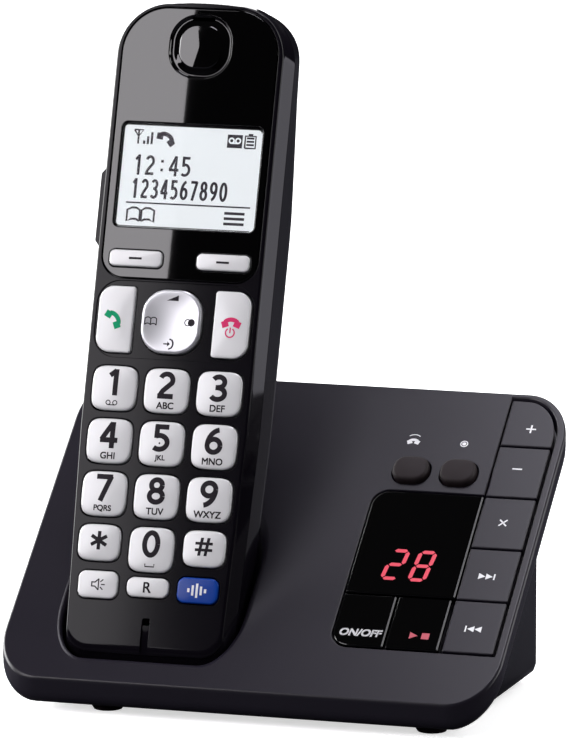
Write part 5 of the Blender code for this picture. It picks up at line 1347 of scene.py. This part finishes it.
picture = [stroke([(-15.7, 131.0), (-14.5, 129.3), (-13.3, 131.0), (-15.7, 131.0)], 0.45),
           stroke([(-14.5, 131.2), (-14.5, 127.4)], 0.5)]
picture += [bar(-13.2 + 1.0 * k, -12.6 + 1.0 * k, 127.4, 128.3 + 1.1 * k) for k in range(3)]
picture += [moved(receiver(5.2, 1.1), turn=-28, x=-7.0, y=129.3)]
picture += [bar(9.2, 13.2, 127.4, 130.8)]
tape = [moved(ring_arc(0.62, 0.42), x=x, y=129.25) for x in (10.35, 12.05)]
tape.append(bar(10.3, 12.1, 128.42, 128.84))
picture += [frame_of(13.9, 16.7, 127.5, 130.6, 0.45), bar(14.7, 15.9, 130.7, 131.2)]
picture += [bar(14.3, 16.3, 128.1 + 0.85 * k, 128.6 + 0.85 * k) for k in range(3)]
picture += row_of("12:45", -15.2, 119.5, 3.2, 2.6, 5.1) + row_of("1234567890", -15.2, 113.5, 2.62, 2.1, 5.0)
picture += [bar(-16.2, 16.9, 112.1, 112.5)]
for side in (-1, 1):
    leaf = np.array([[0.2, 107.6], [1.2, 108.1], [2.4, 108.1], [3.6, 107.5], [3.6, 110.4], [2.4, 111.0],
                     [1.2, 111.0], [0.2, 110.4], [0.2, 107.6]])
    picture.append(stroke(leaf * [side, 1] + [-12.0, 0], 0.55))
picture += [bar(10.2, 15.6, 107.6 + 1.35 * k, 108.3 + 1.35 * k) for k in range(3)]
for name, marks, depth, finish_used in (("lcd_strokes", picture, -0.00117, lcd_ink),
                                        ("lcd_light_strokes", tape, -0.00113, lcd_panel)):
    points, faces = gather(marks)
    cells_made = body(name, put(level(points, depth), HANDSET), faces, finish_used)
    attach(cells_made, "handset")
    print(name, len(faces))

# %% [markdown]
# Message counter
# A digit of the counter is seven bars with pointed ends, leaning a little to the right. Each bar is a
# hexagon worked out from its two end points.

# %% Seven-segment digits
SEGMENTS = {"a": (0, 2, 1, 2), "b": (1, 2, 1, 1), "c": (1, 1, 1, 0), "d": (0, 0, 1, 0), "e": (0, 0, 0, 1),
            "f": (0, 1, 0, 2), "g": (0, 1, 1, 1)}
LIT = {"2": "abged", "8": "abcdefg"}


def segment(name, width, height, thick, gap):
    """A bar between two of the six nodes of the digit, cut back by a gap and pointed at both ends."""
    nodes = np.array(SEGMENTS[name], dtype=float).reshape(2, 2) * [width, height / 2]
    along = (nodes[1] - nodes[0]) / np.linalg.norm(nodes[1] - nodes[0])
    side = np.array([-along[1], along[0]]) * thick / 2
    tip = along * gap
    neck = along * (gap + thick / 2)
    corners = [nodes[0] + tip, nodes[0] + neck - side, nodes[1] - neck - side, nodes[1] - tip,
               nodes[1] - neck + side, nodes[0] + neck + side]
    return polygon(*np.array(corners).tolist())


for index, label in enumerate("28"):
    bars = [segment(name, 3.8, 9.0, 1.05, 0.20) for name in LIT[label]]
    ink("counter_digit_" + label, [moved(m, slant=0.13) for m in bars], led_red, BASE_FACE,
        (0.0284 + 0.0071 * index, 0.0387, 0), "base", "led_display")
print("segments lit", {label: len(names) for label, names in LIT.items()})

# %% [markdown]
# Signs on the base
# A plain sign tells each key of the base from the next: play and stop, skips, erase, louder and softer.
# Each row of the table holds a sign's name, the piece it lies on, its ink, its place across and along
# the slope, and its marks.

# %% Table of signs
SIGNS = [
    # The red play sign glows by emission, which is painted light on a print.
    ("play", "play_key", red_sign_painted_glow, 0.0425, 0.02105,
     [polygon((-2.7, -1.05), (-0.6, 0), (-2.7, 1.05)), bar(0.4, 2.4, -0.95, 0.95)]),
    ("answer", "answer_key", ink_pale, 0.0271, 0.0209,
     [bold(moved(words("ON/OFF", 0.0021), slant=0.16), 0.00009)]),
    ("forward", "skip_forward_key", ink_pale, 0.0554, 0.0412,
     [polygon((-2.3, -0.95), (-0.5, 0), (-2.3, 0.95)), polygon((-0.4, -0.95), (1.4, 0), (-0.4, 0.95)),
      bar(1.6, 2.0, -0.95, 0.95)]),
    ("back", "skip_back_key", ink_pale, 0.0554, 0.0243,
     [polygon((2.3, -0.95), (2.3, 0.95), (0.5, 0)), polygon((0.4, -0.95), (0.4, 0.95), (-1.4, 0)),
      bar(-2.0, -1.6, -0.95, 0.95)]),
    ("plus", "volume_up_key", ink_pale, 0.0559, 0.0897,
     [bar(-1.3, 1.3, -0.22, 0.22), bar(-0.22, 0.22, -1.3, 1.3)]),
    ("minus", "volume_down_key", ink_pale, 0.0552, 0.0764, [bar(-1.3, 1.3, -0.22, 0.22)]),
    ("cross", "erase_key", ink_pale, 0.0555, 0.0587,
     [moved(bar(-1.4, 1.4, -0.2, 0.2), turn=turn) for turn in (45, -45)]),
    ("find", "top_cover", ink_pale, 0.0262, 0.0836,
     [moved(receiver(3.2, 0.8)), moved(ring_arc(2.2, 0.25, 50, 130, 10), y=-0.1)]),
    ("note", "top_cover", ink_pale, 0.0396, 0.0836, [ring_arc(0.9, 0.28), ring_arc(0.28, 0.5)])]
for name, node, colour, x, s, marks in SIGNS:
    carrier = "base" if node == "top_cover" else node
    ink("print_" + name, marks, colour, BASE_FACE, (x, s, 0.0), carrier, node)
print("signs on the base", len(SIGNS))

# %% [markdown]
# Kept CAD pieces
# The cabinet, feet, sockets, boards, contacts and cells keep their CAD shape. Their meshes are never
# changed: modifiers weld the loose triangles, round the edges a little so that they catch light, and
# let the flats set the normals.

# %% Boards and kept nodes
board_green = finish("board_green", (0.010, 0.110, 0.042), (0.016, 0.140, 0.055), 0.32, 0.08, 1500,
                     0.000004, coat_weight=0.3)
FINISHES["circuit_board"] = board_green
FINISHES["lcd_grey"] = component_black
FINISHES["display_clear"] = lens_clear
for name, node in frame["nodes"].items():
    if node.hide_render:
        continue
    node.data.materials.clear()
    node.data.materials.append(FINISHES[slot_of[name]])
    weld = node.modifiers.new("weld", "WELD")
    weld.merge_threshold = 0.000002
    edge = node.modifiers.new("edge", "BEVEL")
    edge.limit_method = "ANGLE"
    edge.angle_limit = math.radians(40)
    edge.width = 0.00018
    edge.segments = 2
    weigh = node.modifiers.new("flats_first", "WEIGHTED_NORMAL")
    weigh.weight = 90
    node.data.shade_smooth()
print("kept", [name for name, node in frame["nodes"].items() if not node.hide_render])

# %% [markdown]
# Studio
# The object stands on a pale sweep. A tall soft light stands in front on the left, where the polished
# plate and the keys mirror it, and its right edge is placed and turned so that it splits the plate along
# its length. A narrow one hangs over the slope and lightens its right part, and three more draw the
# edges. Wide soft ones light the sides and the back. The room gives light from above and stays dim in
# reflections, so black parts stay black.

# %% Sweep, lights and room


def sweep():
    """Floor and wall as one sheet: a level part, a quarter circle and an upright part."""
    angle = np.linspace(0, math.pi / 2, 16)
    y = np.concatenate([[-6.0], 2.2 + 1.2 * np.sin(angle), [3.4]])
    z = np.concatenate([[0.0], 1.2 * (1 - np.cos(angle)), [5.0]])
    x = np.array([-7.0, 7.0])
    points = np.array([[[a, b, c] for a in x] for b, c in zip(y, z)]).reshape(-1, 3)
    k = np.arange(len(y) - 1)
    return points, np.stack([2 * k, 2 * k + 1, 2 * k + 3, 2 * k + 2], axis=1).tolist()


def paper_finish():
    """Matt white that glows a little to the camera and stays dim to the object, as if out of its reach."""
    material = finish("paper", (0.86, 0.86, 0.87), (0.88, 0.88, 0.885), 0.85, 0.04, 400, 0.00002)
    tree = material.node_tree
    shader = tree.nodes["Principled BSDF"]
    shader.inputs["Emission Color"].default_value = (1, 1, 1, 1)
    path = tree.nodes.new("ShaderNodeLightPath")
    tree.links.new(compute(tree, "MULTIPLY", path.outputs["Is Camera Ray"], 0.62),
                   shader.inputs["Emission Strength"])
    dim = tree.nodes.new("ShaderNodeBsdfDiffuse")
    dim.inputs["Color"].default_value = (0.06, 0.06, 0.07, 1)
    mix = tree.nodes.new("ShaderNodeMixShader")
    indirect = compute(tree, "MAXIMUM", path.outputs["Is Glossy Ray"], path.outputs["Is Diffuse Ray"])
    tree.links.new(indirect, mix.inputs[0])
    tree.links.new(shader.outputs[0], mix.inputs[1])
    tree.links.new(dim.outputs[0], mix.inputs[2])
    tree.links.new(mix.outputs[0], tree.nodes["Material Output"].inputs["Surface"])
    return material


floor = body("sweep", *sweep(), paper_finish())


def soft_light(name, width, height, place, aim, power, colour=(1, 1, 1), roll=0.0):
    """An area light that looks at an aim point, rolled about its own axis by some degrees."""
    lamp = bpy.data.lights.new(name, "AREA")
    lamp.shape = "RECTANGLE"
    lamp.size = width
    lamp.size_y = height
    lamp.energy = power
    lamp.color = colour
    made = bpy.data.objects.new(name, lamp)
    bpy.context.collection.objects.link(made)
    out = np.array(place) - np.array(aim)
    out = out / np.linalg.norm(out)
    side = np.cross([0, 0, 1.0], out)
    side = side / np.linalg.norm(side)
    up = np.cross(out, side)
    c, s = math.cos(math.radians(roll)), math.sin(math.radians(roll))
    matrix = np.eye(4)
    matrix[:3] = np.column_stack([c * side + s * up, c * up - s * side, out, place])
    made.matrix_world = Matrix(matrix.tolist())


soft_light("front_left", 0.80, 0.90, (-0.7596, -0.830, 0.71), (-0.7596, 0.0, 0.71), 11.6,
           (0.99, 0.96, 1.0), roll=5.6)
soft_light("over_slope", 0.24, 0.50, (0.0, 0.10, 0.75), (0.0, 0.101, 0.0), 2.8, (0.93, 0.91, 1.0))
soft_light("right_back", 0.40, 0.40, (0.68, 0.26, 0.64), (0.0, 0.0, 0.05), 2.4)
soft_light("right_edge", 0.30, 0.25, (0.75, 0.56, 0.10), (0.0, 0.0, 0.10), 0.7, (0.92, 0.90, 1.0))
soft_light("left_edge", 0.50, 0.36, (-0.55, 0.05, 0.19), (0.0, 0.0, 0.16), 4.5)
soft_light("left_side", 0.90, 0.60, (-1.35, 0.05, 0.55), (0.0, 0.0, 0.08), 7.0)
soft_light("right_side", 0.80, 0.60, (1.45, 0.25, 0.50), (0.0, 0.0, 0.08), 6.0)
soft_light("back_left", 1.80, 1.20, (-1.10, 1.40, 0.85), (0, 0, 0.08), 22.0)
soft_light("back_right", 1.80, 1.20, (0.60, 1.60, 1.30), (0, 0, 0.08), 7.0)

room = bpy.data.worlds.new("room")
bpy.context.scene.world = room
room.use_nodes = True
air = room.node_tree
path = air.nodes.new("ShaderNodeLightPath")
direction = air.nodes.new("ShaderNodeSeparateXYZ")
air.links.new(air.nodes.new("ShaderNodeTexCoord").outputs["Generated"], direction.inputs[0])
overhead = compute(air, "MULTIPLY_ADD", compute(air, "MAXIMUM", direction.outputs["Z"], 0.0), 0.44, 0.05)
dimmed = compute(air, "MULTIPLY_ADD", path.outputs["Is Glossy Ray"], -0.94, 1.0)
level_of_light = compute(air, "MULTIPLY_ADD", path.outputs["Is Camera Ray"], 0.80,
                         compute(air, "MULTIPLY", overhead, dimmed))
air.links.new(level_of_light, air.nodes["Background"].inputs["Strength"])
air.nodes["Background"].inputs["Color"].default_value = (1, 1, 1, 1)

# %% [markdown]
# Camera
# The photograph looks slightly down, from a little to the right, through a long lens. The camera's
# place follows from those two angles, a distance and the point that it looks at.

# %% The photograph's view
AZIMUTH = math.radians(17.8)
ELEVATION = math.radians(10.0)
DISTANCE = 1.915
FOCAL_LENGTH = 370.7
TARGET = np.array([-0.0005, 0.0010, 0.08325])
back = np.array([math.sin(AZIMUTH) * math.cos(ELEVATION), -math.cos(AZIMUTH) * math.cos(ELEVATION),
                 math.sin(ELEVATION)])
side = np.array([math.cos(AZIMUTH), math.sin(AZIMUTH), 0])
lens = bpy.data.cameras.new("camera")
lens.lens = FOCAL_LENGTH
lens.sensor_width = 36
lens.sensor_fit = "AUTO"
lens.clip_start = 0.05
lens.clip_end = 50
camera = bpy.data.objects.new("camera", lens)
bpy.context.collection.objects.link(camera)
matrix = np.eye(4)
matrix[:3] = np.column_stack([side, np.cross(back, side), back, TARGET + back * DISTANCE])
camera.matrix_world = Matrix(matrix.tolist())
bpy.context.scene.camera = camera
bpy.context.scene.view_settings.view_transform = "Standard"
print("camera at", [round(float(c), 3) for c in matrix[:3, 3]])
